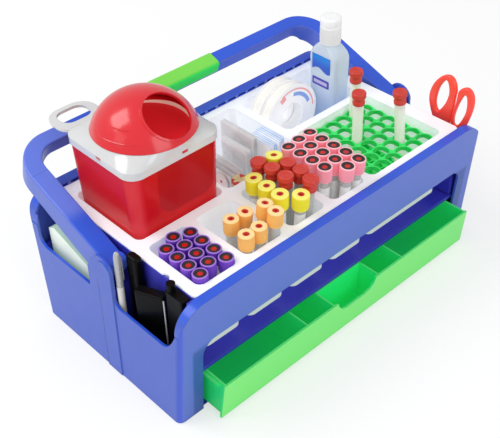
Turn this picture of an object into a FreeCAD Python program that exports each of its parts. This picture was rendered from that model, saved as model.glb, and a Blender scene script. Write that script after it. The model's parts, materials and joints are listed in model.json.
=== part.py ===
import FreeCAD, Part
import math
import os
import re
from types import SimpleNamespace

import Sketcher

# Phlebotomy tray with its folding handle, drawer, lift-out insert and the supplies that stock it.
# Millimetres. X runs along the tray, Y from front to back, Z up. The origin is on the table
# under the middle of the case.

os.makedirs("parts", exist_ok=True)
doc = FreeCAD.newDocument("phlebotomy_tray")
V = FreeCAD.Vector

SIZES = {
    # case
    "case_length": 456, "case_depth": 227.6, "case_height": 156, "wall": 3, "corner_radius": 7,
    "end_lean": 4.1, "wall_flare": 12.1, "pad_stand": 0.8, "shoulder_radius": 30,
    "front_drop": 2, "flange_width": 11.3, "rail_width": 13.8, "lip_thickness": 3,
    "ledge_depth": 6.5, "ledge_thickness": 2.7, "ledge_reach": 5.8,
    "slot_length": 12, "slot_height": 2.8, "slot_pitch": 16, "slot_top_drop": 0.8,
    "arch_width": 394, "arch_height": 98, "arch_radius": 16,
    "pocket_edge": 99.5, "rear_pocket_edge": 102, "pocket_width": 28, "pocket_lift": 1.5,
    "liner_wall": 2, "column_front": -20, "column_back": 20, "hump_radius": 15.5,
    "strip_width": 23, "strip_proud": 1,
    # base, shelf and drawer space
    "base_thickness": 2, "pad_radius": 9, "pad_inset_x": 30, "pad_inset_y": 24,
    "drawer_height": 47.6, "drawer_gap": 0.3, "drawer_depth": 208, "drawer_open": 24,
    "drawer_wall": 2, "drawer_side_gap": 4, "front_panel": 2.6, "front_rake": 5.1,
    "side_ledge": 3.3, "ledge_drop": 2.4, "ledge_height": 3, "runner_wall": 2, "runner_gap": 0.3,
    "panel_overhang": 4.4, "divider_inner": 35, "divider_outer": 75, "divider_wall": 1.6,
    "scoop_bin_depth": 30.2, "scoop_width": 61, "scoop_depth": 16, "scoop_reach": 24,
    "drawer_travel": 140, "lug_middle": 126, "lug_length": 12, "lug_depth": 6, "lug_drop": 2.2,
    "shelf_gap": 1.3, "shelf_thickness": 4.5, "shelf_set_back": 0.8,
    # handle
    "pivot_y": -10, "pivot_drop": 19, "handle_rest": 20, "handle_reach": 152.7, "bar_width": 17.3,
    "arm_width": 20.6, "arm_gap": 0.8, "arm_above": 6.9, "bar_below": 7, "arm_below_rear": 16.1,
    "arm_below_front": 24.3, "belly_reach": 14, "arm_eye": 9, "heel": 6,
    "bail_outer_radius": 42, "bail_inner_radius": 23, "edge_round": 2, "rest_gap": 0.6,
    "pin_radius": 4.5, "pin_fit": 0.05, "pin_reach": 17, "pin_end_gap": 0.4,
    "grip_length": 110, "grip_wall": 1.4, "grip_round": 3.9,
    # insert
    "rim_thickness": 2, "rim_gap": 0.3, "rim_end_gap": 0.5, "insert_wall": 2, "well_draft": 1.6,
    "well_radius": 8, "well_margin": 9.8, "side_margin": 12.4, "rim_notch": 6, "rim_notch_place": 43.2,
    "tube_well_width": 49.5, "tube_well_pitch": 60.4, "tube_well_depth": 78,
    "deep_well": 79.8, "shallow_well": 60.8,
    "rack_well_web": 9.8, "rack_side_clearance": 10.5, "rack_depth_clearance": 5,
    "sharps_well_web": 11.9, "sharps_well_width": 113, "sharps_well_depth": 107.5,
    "packet_well_side_web": 5, "packet_well_web": 12.4, "packet_well_width": 111,
    "packet_well_depth": 115, "tape_well_web": 10.4, "tape_well_depth": 82, "floor_gap": 0.3,
    # sharps container
    "sharps_foot": 100.2, "sharps_head": 106.6, "sharps_extra": 6, "sharps_height": 134,
    "sharps_radius": 14, "sharps_wall": 1.8, "lid_width": 110, "lid_radius": 16, "lid_wall": 2.2,
    "lid_skirt": 8,
    "lid_overlap": 4, "lid_rise": 13.7, "collar_radius": 49.8, "collar_wall": 3.5, "collar_height": 8,
    "collar_drop": 6, "shutter_thickness": 2, "dome_radius": 57.6, "dome_wall": 2.2,
    "dome_shift_x": 0, "dome_shift_y": -4.25, "dome_opening": 26, "dome_lip": 2.2,
    "dome_lip_proud": 0.9, "dome_tilt": 37, "dome_sink": 20.6, "dome_gap": 0.3,
    "window_width": 7, "window_height": 3.2, "window_depth": 1, "left_window_y": -5.5,
    "front_window_x": 8.4, "loop_width": 53, "loop_reach": 39.5, "loop_thickness": 3,
    "loop_shift": 29, "loop_band": 9,
    # tube rack
    "rack_cells": 6, "cell_clearance": 3.8, "lattice_bar": 1.8, "rack_border": 1.2, "rack_height": 72.7,
    "lattice_height": 9, "lower_lattice_lift": 8, "post_radius": 2.5, "post_inset": 0.4,
    # tubes
    "tube_radius": 6, "tube_wall": 0.9, "tube_base_gap": 0.3, "cap_height": 17.5, "cap_fit": 0.05,
    "plug_fit": 0.03, "cap_cover": 5.1, "stopper_cover": 15.5, "tube_fan": 0.74,
    "purple_length": 86, "purple_cap": 7.9, "purple_row": 16.3,
    "orange_length": 96, "orange_cap": 8.2, "yellow_length": 105, "yellow_cap": 9.1,
    "pink_length": 110, "pink_cap": 8.1, "pink_row": 17.3, "stopper_radius": 8.5,
    "mottled_length": 57, "rack_tube_length": 134, "rack_stopper": 8,
    # bottle and tape
    "bottle_width": 29, "bottle_depth": 43, "bottle_height": 120.5, "shoulder_drop": 11,
    "bottle_radius": 7, "bottle_side_gap": 1.7, "bottle_place": 33.5, "neck_wall": 2.2,
    "bottle_cap_radius": 12.5, "bottle_cap_height": 32, "flip_lid_height": 9,
    "label_thickness": 0.4, "label_margin": 7, "spout_radius": 2, "hinge_flat": 1.5,
    "spool_radius": 41.3, "spool_bore": 17, "spool_width": 14, "spool_gap": 0.5,
    "spool_place": 39, "rear_spool_shift": 3.2, "tape_sink": 1.5, "spool_flange": 1.2,
    # packets
    "wrapper_width": 36, "wrapper_height": 66, "wrapper_thickness": 3.5, "wrapper_pitch": 4,
    "wrapper_count": 7, "pouch_width": 46, "pouch_thickness": 6, "spot_radius": 10,
    # pocket contents
    "packet_thickness": 9, "pen_radius": 3.6, "marker_height": 97.6, "device_width": 31,
    "device_thickness": 11, "device_height": 73.6, "device_yaw": 67.6, "second_height": 88.6,
    "scissor_thickness": 6, "blade_thickness": 1.4, "rivet_radius": 2, "rivet_fit": 0.05,
}

sheet = doc.addObject("Spreadsheet::Sheet", "Sizes")
for row, (alias, number) in enumerate(SIZES.items(), start=1):
    sheet.set(f"A{row}", alias)
    sheet.set(f"B{row}", str(number))
    sheet.setAlias(f"B{row}", alias)
doc.recompute()
dim = SimpleNamespace(**{alias: float(sheet.get(alias)) for alias in SIZES})

parts = []


def bind(thing, prop, formula):
    """Tie a property to the sheet: each size named in the formula becomes its cell."""
    linked = re.sub(r"[a-z][a-z0-9_]*", lambda m: "Sizes." + m[0] if m[0] in SIZES else m[0], formula)
    thing.setExpression(prop, linked)


def new_body(name):
    body = doc.addObject("PartDesign::Body", name)
    body.Label = name
    parts.append(body)
    return body


def new_sketch(body, name, role, height="0"):
    """Sketch on one of the body's own planes, lifted off it by height."""
    sketch = body.newObject("Sketcher::SketchObject", name)
    plane = next(feature for feature in body.Origin.OriginFeatures if feature.Role == role)
    sketch.AttachmentSupport = (plane, "")
    sketch.MapMode = "FlatFace"
    bind(sketch, ".AttachmentOffset.Base.z", height)
    return sketch


def fix_point(sketch, geometry, position, x, y):
    for kind, formula in (("DistanceX", x), ("DistanceY", y)):
        number = sketch.addConstraint(Sketcher.Constraint(kind, -1, 1, geometry, position, 1.0))
        bind(sketch, f"Constraints[{number}]", formula)


def draw_outline(sketch, points):
    """Closed straight-sided outline with every corner tied to a formula."""
    first = sketch.GeometryCount
    count = len(points)
    ring = [V(math.cos(2 * math.pi * k / count), math.sin(2 * math.pi * k / count), 0) for k in range(count)]
    for k in range(count):
        sketch.addGeometry(Part.LineSegment(ring[k], ring[(k + 1) % count]), False)
    for k in range(count):
        sketch.addConstraint(Sketcher.Constraint("Coincident", first + k, 2, first + (k + 1) % count, 1))
    for k, (x, y) in enumerate(points):
        fix_point(sketch, first + k, 1, x, y)


def draw_box(sketch, x0, x1, y0, y1):
    draw_outline(sketch, [(x0, y0), (x1, y0), (x1, y1), (x0, y1)])


def draw_circle(sketch, x, y, radius):
    circle = sketch.addGeometry(Part.Circle(V(0, 0, 0), V(0, 0, 1), 5), False)
    fix_point(sketch, circle, 3, x, y)
    number = sketch.addConstraint(Sketcher.Constraint("Radius", circle, 5.0))
    bind(sketch, f"Constraints[{number}]", radius)


def pad(body, sketch, length):
    feature = body.newObject("PartDesign::Pad", "Pad")
    feature.Profile = sketch
    bind(feature, "Length", length)
    return feature


def pocket(body, sketch, length):
    """Cut straight up from the sketch."""
    feature = body.newObject("PartDesign::Pocket", "Pocket")
    feature.Profile = sketch
    feature.Reversed = True
    bind(feature, "Length", length)
    return feature


def round_uprights(body, radius):
    """Round every upright edge of the body made so far."""
    doc.recompute()
    base = body.Tip
    names = [f"Edge{number}" for number, edge in enumerate(base.Shape.Edges, start=1)
             if edge.BoundBox.XLength < 0.01 and edge.BoundBox.YLength < 0.01]
    feature = body.newObject("PartDesign::Fillet", "Rounding")
    feature.Base = (base, names)
    bind(feature, "Radius", radius)


def move_body(body, place):
    body.Placement = FreeCAD.Placement(place, FreeCAD.Rotation())


def shape_part(name, shape, placement=None):
    part = doc.addObject("Part::Feature", name)
    part.Label = name
    part.Shape = shape
    part.Placement = placement or shape.Placement
    parts.append(part)


def box(x0, x1, y0, y1, z0, z1):
    return Part.makeBox(x1 - x0, y1 - y0, z1 - z0, V(x0, y0, z0))


def both_ends(shape):
    """The shape at the right end with its mirror image at the left end."""
    return [shape, shape.mirror(V(0, 0, 0), V(1, 0, 0))]


def wire(points):
    """Closed wire through points; a point written as a pair of points is the middle and end of an arc."""
    edges = []
    start = points[0]
    for point in points[1:] + [points[0]]:
        if isinstance(point, tuple):
            edges.append(Part.Arc(start, point[0], point[1]).toShape())
            start = point[1]
        elif start.distanceToPoint(point) > 1e-6:
            edges.append(Part.LineSegment(start, point).toShape())
            start = point
    return Part.Wire(edges)


def prism(points, reach):
    return Part.Face(wire(points)).extrude(reach)


def rounded_rect(half_x, half_y, radius, z, centre_x=0, centre_y=0):
    """Level rectangle with rounded corners, drawn from its right front corner round to the left."""
    bend = radius * (1 - math.sqrt(0.5))
    points = []
    for sign_x, sign_y, flip in ((1, -1, False), (1, 1, True), (-1, 1, False), (-1, -1, True)):
        corner = V(centre_x + sign_x * half_x, centre_y + sign_y * half_y, z)
        along = corner - V(sign_x * radius, 0, 0)
        across = corner - V(0, sign_y * radius, 0)
        middle = corner - V(sign_x * bend, sign_y * bend, 0)
        first, last = (across, along) if flip else (along, across)
        points += [first, (middle, last)]
    return wire(points)


def tapered(sections):
    return Part.makeLoft([rounded_rect(*section) for section in sections], True, True)


def turned(profile):
    """Solid turned about Z from (radius, z) points."""
    points = [V(radius, 0, z) for radius, z in profile]
    return Part.Face(Part.makePolygon(points + points[:1])).revolve(V(0, 0, 0), V(0, 0, 1), 360)


def fuse(shapes):
    return shapes[0].multiFuse(shapes[1:]).removeSplitter()


def cut(shape, tools):
    return shape.cut(Part.makeCompound(tools))


# Case form
def rise(z):
    return (z - dim.pad_stand) / (dim.case_height - dim.pad_stand)


def half_length(z):
    return dim.case_length / 2 - dim.end_lean * rise(z)


def half_depth(z):
    return dim.case_depth / 2 + dim.wall_flare * rise(z)


def case_block(inset, low, high):
    radius = max(dim.corner_radius - inset, 1)
    return tapered([(half_length(z) - inset, half_depth(z) - inset, radius, z) for z in (low, high)])


CASE_TOP = dim.case_height
FRONT_TOP = dim.case_height - dim.front_drop
TOP_HALF = half_length(CASE_TOP)
FRONT_INNER = -half_depth(CASE_TOP) + dim.flange_width
REAR_INNER = half_depth(CASE_TOP) - dim.rail_width
POCKET_X = TOP_HALF - dim.pocket_width
PIVOT = V(0, dim.pivot_y, dim.case_height - dim.pivot_drop)
LEDGE_TOP = CASE_TOP - dim.ledge_depth
CAVITY_Z = CASE_TOP + 40
BASE_TOP = dim.pad_stand + dim.base_thickness
DRAWER_TOP_Z = BASE_TOP + dim.drawer_gap + dim.drawer_height
SHELF_TOP = DRAWER_TOP_Z + dim.shelf_gap + dim.shelf_thickness
POCKET_FLOOR = SHELF_TOP + dim.pocket_lift + dim.liner_wall
CASE_Y = dim.case_depth


def shoulder_band(top, thickness):
    """Strip under the top edge seen from the front, following the rounded upper corners."""
    outlines = []
    for inset in (0, thickness):
        radius = dim.shoulder_radius - inset
        side = TOP_HALF - inset
        low = top - dim.shoulder_radius
        bend = radius * (1 - math.sqrt(0.5))
        high = top - inset
        outlines.append([
            V(-side, 0, low), (V(-side + bend, 0, high - bend), V(-side + radius, 0, high)),
            V(side - radius, 0, high), (V(side - bend, 0, high - bend), V(side, 0, low)),
        ])
    return Part.Face(wire(outlines[0])).cut(Part.Face(wire(outlines[1])))


def shoulder_trim(top, y0, y1):
    """What is cleared away above the rounded upper corners of the front or rear wall."""
    radius = dim.shoulder_radius
    bend = radius * (1 - math.sqrt(0.5))
    far = TOP_HALF + 20
    corner = [
        V(TOP_HALF - radius, y0, top), (V(TOP_HALF - bend, y0, top - bend), V(TOP_HALF, y0, top - radius)),
        V(far, y0, top - radius), V(far, y0, CAVITY_Z), V(TOP_HALF - radius, y0, CAVITY_Z),
    ]
    strip = box(-far, far, y0, y1, top, CAVITY_Z)
    return both_ends(prism(corner, V(0, y1 - y0, 0))) + [strip]


def end_cutouts():
    """Everything above the wavy top edge of the two end walls."""
    front = -half_depth(dim.pocket_edge) + 19
    hump = dim.hump_radius
    edge = dim.pocket_edge
    rear = dim.rear_pocket_edge
    corner_y = REAR_INNER - 4.8
    hump_y = PIVOT.y + 3.5
    outline = [
        V(0, front - 16.5, CAVITY_Z), V(0, front - 16.5, edge + 41.5),
        (V(0, front - 11.8, edge + 21), V(0, front - 2, edge + 5)),
        (V(0, front + 3.5, edge + 1), V(0, front + 11, edge)),
        V(0, dim.column_front - 17, edge),
        (V(0, dim.column_front - 4.5, edge + 3.5), V(0, hump_y - hump, edge + 14)),
        V(0, hump_y - hump, PIVOT.z),
        (V(0, hump_y, PIVOT.z + hump), V(0, hump_y + hump * 0.8, PIVOT.z + hump * 0.6)),
        V(0, dim.column_back - 2, PIVOT.z - 9), V(0, dim.column_back - 2, rear),
        V(0, corner_y - 11, rear), (V(0, corner_y - 3.5, rear + 4), V(0, corner_y, rear + 15)),
        V(0, corner_y, CAVITY_Z),
    ]
    reach = V(60, 0, 0)
    right = prism([point + V(POCKET_X + 8, 0, 0) if not isinstance(point, tuple)
                   else tuple(p + V(POCKET_X + 8, 0, 0) for p in point) for point in outline], reach)
    return both_ends(right)


def arch_cut():
    half = dim.arch_width / 2
    top = dim.arch_height
    radius = dim.arch_radius
    bend = radius * (1 - math.sqrt(0.5))
    y = -CASE_Y
    outline = [
        V(-half, y, -1), V(-half, y, top - radius),
        (V(-half + bend, y, top - bend), V(-half + radius, y, top)), V(half - radius, y, top),
        (V(half - bend, y, top - bend), V(half, y, top - radius)), V(half, y, -1),
    ]
    return prism(outline, V(0, CASE_Y * 0.55, 0))


def make_case():
    outer = case_block(0, dim.pad_stand, CASE_TOP)
    inner = case_block(dim.wall, dim.pad_stand - 1, CASE_TOP + 1)
    walls = outer.cut(inner)
    front_clear = shoulder_trim(FRONT_TOP, -CASE_Y, FRONT_INNER + 12)
    rear_clear = shoulder_trim(CASE_TOP, REAR_INNER - 6, CASE_Y)
    walls = cut(walls, end_cutouts() + front_clear + rear_clear + [arch_cut()])

    lip = dim.lip_thickness
    ledge_low = LEDGE_TOP - dim.ledge_thickness
    span = POCKET_X - dim.liner_wall - 0.5
    flange = shoulder_band(FRONT_TOP, dim.wall)
    flange.translate(V(0, -CASE_Y, 0))
    flange = flange.extrude(V(0, CASE_Y + FRONT_INNER, 0)).common(outer)
    rail = shoulder_band(CASE_TOP, dim.wall)
    rail.translate(V(0, REAR_INNER, 0))
    rail = rail.extrude(V(0, CASE_Y, 0)).common(outer)
    front_lip = box(-span, span, FRONT_INNER - lip, FRONT_INNER, ledge_low, FRONT_TOP - 1)
    front_ledge = box(-span, span, FRONT_INNER - lip, FRONT_INNER + dim.ledge_reach, ledge_low, LEDGE_TOP)
    rear_lip = box(-span, span, REAR_INNER, REAR_INNER + lip, ledge_low, CASE_TOP - 1)
    rear_ledge = box(-span, span, REAR_INNER - dim.ledge_reach, REAR_INNER + lip, ledge_low, LEDGE_TOP)

    strip_half = dim.strip_width / 2
    start = TOP_HALF - 20
    strip = [
        V(start, PIVOT.y - strip_half, dim.pad_stand), V(start, PIVOT.y - strip_half, PIVOT.z),
        (V(start, PIVOT.y, PIVOT.z + strip_half), V(start, PIVOT.y + strip_half, PIVOT.z)),
        V(start, PIVOT.y + strip_half, dim.pad_stand),
    ]
    proud = case_block(-dim.strip_proud, dim.pad_stand, CASE_TOP).cut(outer)
    strips = [side.common(proud) for side in both_ends(prism(strip, V(60, 0, 0)))]

    shell = fuse([walls, flange, rail, front_lip, front_ledge, rear_lip, rear_ledge] + strips)
    slots = []
    count = int((2 * span - dim.slot_length) / dim.slot_pitch)
    slot_top = CASE_TOP - dim.slot_top_drop
    for k in range(count + 1):
        x = (k - count / 2) * dim.slot_pitch
        half = dim.slot_length / 2
        slots.append(box(x - half, x + half, REAR_INNER - 1, REAR_INNER + lip + 0.2,
                         slot_top - dim.slot_height, slot_top))
    bores = both_ends(Part.makeCylinder(dim.pin_radius, TOP_HALF - POCKET_X + 1,
                                        V(POCKET_X, PIVOT.y, PIVOT.z), V(1, 0, 0)))
    shape_part("case_shell", cut(shell, slots + bores))


def arm_underside(y):
    """Height of the resting arm's underside behind the pivot."""
    belly = arm_point(dim.belly_reach, -dim.arm_below_front)
    rear = arm_point(dim.handle_reach - dim.heel, -dim.arm_below_rear)
    return belly.z + (y - belly.y) * (rear.z - belly.z) / (rear.y - belly.y)


def arm_point(along, above, x=0):
    """Point of the resting handle, measured along the arm from the pivot and square to it."""
    lean = math.radians(dim.handle_rest)
    return V(x, PIVOT.y + along * math.cos(lean) - above * math.sin(lean),
             PIVOT.z + along * math.sin(lean) + above * math.cos(lean))


def make_liners():
    """Pocket liner of each end: inner wall, floor, and the hollow column that the arm rests on."""
    thin = dim.liner_wall
    gap = 0.05
    floor = POCKET_FLOOR
    front = FRONT_INNER + 2.3
    back = REAR_INNER - 3
    belly = arm_point(dim.belly_reach, -dim.arm_below_front)
    seat_low = belly.z - dim.rest_gap
    far = TOP_HALF + 12
    cavity = case_block(dim.wall + gap, floor - thin - 1, CASE_TOP)
    block = box(POCKET_X - thin, far, front, back, floor - thin, LEDGE_TOP - 0.2).common(cavity)
    column_front = dim.column_front
    column_back = dim.column_back
    hoppers = [
        box(POCKET_X, far, front + thin, column_front, floor, CASE_TOP),
        box(POCKET_X, far, column_back, back - thin, floor, CASE_TOP),
    ]
    seat_back = column_back + 1
    over = [
        V(POCKET_X, column_front - 1, seat_low), V(POCKET_X, belly.y, seat_low),
        V(POCKET_X, seat_back, arm_underside(seat_back) - dim.rest_gap), V(POCKET_X, seat_back, CASE_TOP),
        V(POCKET_X, column_front - 1, CASE_TOP),
    ]
    hollow = box(POCKET_X, far, column_front + thin, column_back - thin, floor, seat_low - thin)
    front_trim = box(POCKET_X + 8, far, front - 1, column_front, dim.pocket_edge - 4, CASE_TOP)
    rear_trim = box(POCKET_X + 8, far, column_back, back + 1, dim.rear_pocket_edge - 4, CASE_TOP)
    liner = cut(block, hoppers + [prism(over, V(60, 0, 0)), hollow, front_trim, rear_trim])
    shape_part("pocket_liners", Part.makeCompound(both_ends(liner)))


def make_base():
    body = new_body("base_plate")
    sketch = new_sketch(body, "Outline", "XY_Plane", "pad_stand")
    half_x = "case_length / 2 - wall - 0.1"
    half_y = "case_depth / 2 - wall - 0.1"
    draw_box(sketch, f"-({half_x})", half_x, f"-({half_y})", half_y)
    pad(body, sketch, "base_thickness")
    round_uprights(body, "corner_radius - wall + 0.3")
    holes = new_sketch(body, "PadHoles", "XY_Plane", "pad_stand - 1")
    draw_circle(holes, "0", "0", "pad_radius")
    for sign_x in ("-", ""):
        for sign_y in ("-", ""):
            draw_circle(holes, f"{sign_x}(case_length / 2 - pad_inset_x)",
                        f"{sign_y}(case_depth / 2 - pad_inset_y)", "pad_radius")
    pocket(body, holes, "base_thickness + 2")
    centres = [V(0, 0, 0)]
    for sign_x in (-1, 1):
        for sign_y in (-1, 1):
            centres.append(V(sign_x * (dim.case_length / 2 - dim.pad_inset_x),
                             sign_y * (dim.case_depth / 2 - dim.pad_inset_y), 0))
    height = dim.pad_stand + dim.base_thickness
    feet = [Part.makeCylinder(dim.pad_radius - 0.02, height, centre) for centre in centres]
    shape_part("foot_pads", Part.makeCompound(feet))


DRAWER_LOW = "(pad_stand + base_thickness + drawer_gap)"
DRAWER_TOP = "(pad_stand + base_thickness + drawer_gap + drawer_height)"
DRAWER_FRONT = "(-case_depth / 2 - panel_overhang - drawer_open)"
DRAWER_HALF = "(arch_width / 2 - drawer_side_gap - side_ledge)"


def make_shelf():
    body = new_body("storage_shelf")
    sketch = new_sketch(body, "Outline", "XY_Plane", f"{DRAWER_TOP} + shelf_gap")
    rise = f"(({DRAWER_TOP} - pad_stand) / (case_height - pad_stand))"
    half_x = f"case_length / 2 - end_lean * ({rise} + 0.05848) - wall - 0.1"
    draw_box(sketch, f"-({half_x})", half_x, "-case_depth / 2 + shelf_set_back",
             f"case_depth / 2 + wall_flare * ({rise} + 0.00848) - wall - 0.1")
    pad(body, sketch, "shelf_thickness")
    round_uprights(body, "corner_radius - wall + 0.3")


def make_guides():
    """Angle runners that carry the drawer's side ledges and the shelf, and lugs that stop the drawer."""
    top = DRAWER_TOP_Z
    drawer_half = dim.arch_width / 2 - dim.drawer_side_gap - dim.side_ledge
    web = drawer_half + dim.side_ledge + 0.8
    ledge_low = top - dim.ledge_drop - dim.ledge_height
    front = -dim.case_depth / 2 + dim.wall + 2
    back = dim.case_depth / 2 - dim.wall - 2
    upright = box(web, web + dim.runner_wall, front, back, BASE_TOP, top + dim.shelf_gap)
    track = box(drawer_half + 0.8, web + 0.5, front, back, ledge_low - dim.runner_gap - 2,
                ledge_low - dim.runner_gap)

    drawer_front = -dim.case_depth / 2 - dim.panel_overhang - dim.drawer_open
    back_wall = drawer_front + dim.drawer_depth - dim.drawer_wall
    lug_back = back_wall - dim.drawer_travel - 0.8
    lug = box(dim.lug_middle - dim.lug_length / 2, dim.lug_middle + dim.lug_length / 2,
              lug_back - dim.lug_depth, lug_back, top - dim.lug_drop, top + dim.shelf_gap)
    shape_part("drawer_guides", Part.makeCompound(both_ends(fuse([upright, track])) + both_ends(lug)))


def ruled_loft(body, kind, low_z, low_box, high_z, high_box):
    """Straight-sided loft between two rectangles, each given by its height and its sides."""
    loft = body.newObject(kind, "Loft")
    low = new_sketch(body, "Low", "XY_Plane", low_z)
    draw_box(low, *low_box)
    high = new_sketch(body, "High", "XY_Plane", high_z)
    draw_box(high, *high_box)
    loft.Profile = low
    loft.Sections = [high]
    loft.Ruled = True


def make_drawer():
    body = new_body("drawer_tray")
    plan = new_sketch(body, "Plan", "XY_Plane", DRAWER_LOW)
    front = f"({DRAWER_FRONT} + front_rake)"
    back = f"({DRAWER_FRONT} + drawer_depth)"
    draw_box(plan, f"-{DRAWER_HALF}", DRAWER_HALF, f"{front} + front_panel - 0.5", back)
    pad(body, plan, "drawer_height")

    # Raked front panel, a little wider than the tray at its foot, and the sides that meet it
    inner_front = f"{front} + front_panel"
    inner_top = f"{DRAWER_FRONT} + front_panel"
    ruled_loft(body, "PartDesign::AdditiveLoft", DRAWER_LOW,
               (f"-({DRAWER_HALF} + 4)", f"{DRAWER_HALF} + 4", front, inner_front), DRAWER_TOP,
               (f"-({DRAWER_HALF} + 1.7)", f"{DRAWER_HALF} + 1.7", DRAWER_FRONT, inner_top))
    ruled_loft(body, "PartDesign::AdditiveLoft", DRAWER_LOW,
               (f"-{DRAWER_HALF}", DRAWER_HALF, f"{inner_front} - 0.5", f"{front} + 20"), DRAWER_TOP,
               (f"-{DRAWER_HALF}", DRAWER_HALF, f"{inner_top} - 0.5", f"{front} + 20"))

    bins = [(f"-({DRAWER_HALF} - drawer_wall)", "-(divider_outer + divider_wall / 2)"),
            ("-(divider_outer - divider_wall / 2)", "-(divider_inner + divider_wall / 2)"),
            ("-(divider_inner - divider_wall / 2)", "divider_inner - divider_wall / 2"),
            ("divider_inner + divider_wall / 2", "divider_outer - divider_wall / 2"),
            ("divider_outer + divider_wall / 2", f"{DRAWER_HALF} - drawer_wall")]
    cross_wall = f"({DRAWER_FRONT} + scoop_bin_depth)"
    hollows = new_sketch(body, "Bins", "XY_Plane", f"{DRAWER_LOW} + drawer_wall")
    for number, (left, right) in enumerate(bins):
        if number == 2:
            draw_box(hollows, left, right, inner_front, f"{cross_wall} - divider_wall")
            draw_box(hollows, left, right, cross_wall, f"{back} - drawer_wall")
        else:
            draw_box(hollows, left, right, inner_front, f"{back} - drawer_wall")
    pocket(body, hollows, "drawer_height")
    for left, right in bins:
        ruled_loft(body, "PartDesign::SubtractiveLoft",
                   f"{DRAWER_LOW} + drawer_wall", (left, right, inner_front, f"{inner_front} + 4"),
                   f"{DRAWER_TOP} + 0.01", (left, right, inner_top, f"{inner_front} + 4"))

    scoop = new_sketch(body, "Scoop", "XZ_Plane", "case_depth / 2 + drawer_open + 12")
    side = [("0", "+ 1"), ("3", "- scoop_depth * 0.45"), ("9", "- scoop_depth * 0.85"),
            ("16", "- scoop_depth")]
    falling = [(f"-scoop_width / 2 + {across}", f"{DRAWER_TOP} {drop}") for across, drop in side]
    rising = [(f"scoop_width / 2 - {across}", f"{DRAWER_TOP} {drop}") for across, drop in reversed(side)]
    draw_outline(scoop, falling + rising)
    notch = body.newObject("PartDesign::Pocket", "ScoopCut")
    notch.Profile = scoop
    bind(notch, "Length", "scoop_reach")

    ledges = new_sketch(body, "SideLedges", "XY_Plane", f"{DRAWER_TOP} - ledge_drop - ledge_height")
    for left, right in ((f"{DRAWER_HALF} - 0.5", f"{DRAWER_HALF} + side_ledge"),
                        (f"-({DRAWER_HALF} + side_ledge)", f"-({DRAWER_HALF} - 0.5)")):
        draw_box(ledges, left, right, f"{DRAWER_FRONT} + 9", back)
    pad(body, ledges, "ledge_height")


# Handle
def make_handle():
    """Bail handle in its resting place, tipped back onto the columns, with pins and grip."""
    arm_outer = TOP_HALF - dim.wall - dim.arm_gap + 0.3
    arm_inner = arm_outer - dim.arm_width
    reach = dim.handle_reach
    tip = reach + dim.bar_width
    above = dim.arm_above
    eye = dim.arm_eye

    def flat_wire(half, end, radius, start):
        bend = radius * (1 - math.sqrt(0.5))
        return wire([
            V(-half, start, 0), V(-half, end - radius, 0),
            (V(-half + bend, end - bend, 0), V(-half + radius, end, 0)), V(half - radius, end, 0),
            (V(half - bend, end - bend, 0), V(half, end - radius, 0)), V(half, start, 0),
        ])

    outline = Part.Face(flat_wire(arm_outer, tip, dim.bail_outer_radius, -eye - 1))
    window = Part.Face(flat_wire(arm_inner, reach, dim.bail_inner_radius, -eye - 2))
    plan = outline.cut(window)
    plan.translate(V(0, 0, -40))
    plan = plan.extrude(V(0, 0, 80))
    far = -arm_outer - 40
    side = fuse([
        prism([V(far, 0, above), V(far, 0, -eye), V(far, dim.belly_reach, -dim.arm_below_front),
               V(far, reach - dim.heel, -dim.arm_below_rear), V(far, reach + 2, -dim.bar_below),
               V(far, tip + 1, -dim.bar_below), V(far, tip + 1, above)], V(-2 * far, 0, 0)),
        Part.makeCylinder(eye, -2 * far, V(far, 0, 0), V(1, 0, 0)),
    ])
    bail = plan.common(side)
    top_edges = [edge for edge in bail.Edges
                 if edge.BoundBox.ZMin > above - 0.01 and edge.BoundBox.YMax > eye + 2]
    bail = bail.makeFillet(dim.edge_round, top_edges)
    bore = Part.makeCylinder(dim.pin_radius + dim.pin_fit, dim.pin_reach + 1,
                             V(arm_outer - dim.pin_reach, 0, 0), V(1, 0, 0))
    bail = cut(bail, both_ends(bore))

    skin = dim.grip_wall
    half = dim.grip_length / 2
    sleeve = box(-half, half, reach - skin, tip + skin, -dim.bar_below - skin, above + skin)
    long_edges = [edge for edge in sleeve.Edges if edge.Length > dim.grip_length - 1]
    sleeve = sleeve.makeFillet(dim.grip_round, long_edges)
    sleeve = sleeve.cut(bail)
    grip = max(sleeve.Solids, key=lambda solid: solid.BoundBox.DiagonalLength)

    placement = FreeCAD.Placement(PIVOT, FreeCAD.Rotation(V(1, 0, 0), dim.handle_rest))
    shape_part("handle_bail", bail, placement)
    shape_part("grip_sleeve", grip, placement)

    start = arm_outer - dim.pin_reach + dim.pin_end_gap
    length = half_length(PIVOT.z) - start
    pins = both_ends(Part.makeCylinder(dim.pin_radius, length, V(start, PIVOT.y, PIVOT.z), V(1, 0, 0)))
    shape_part("pivot_pins", Part.makeCompound(pins))


# Insert
RIM_LOW = LEDGE_TOP + dim.rim_gap
RIM_TOP = RIM_LOW + dim.rim_thickness
RIM_FRONT = FRONT_INNER + 0.4
RIM_BACK = REAR_INNER - 0.3
RIM_HALF = POCKET_X - dim.rim_end_gap
DEEP_FLOOR = RIM_TOP - dim.deep_well
SHALLOW_FLOOR = RIM_TOP - dim.shallow_well
WELL_FRONT = RIM_FRONT + dim.well_margin
WELL_LEFT = -RIM_HALF + dim.side_margin


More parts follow.
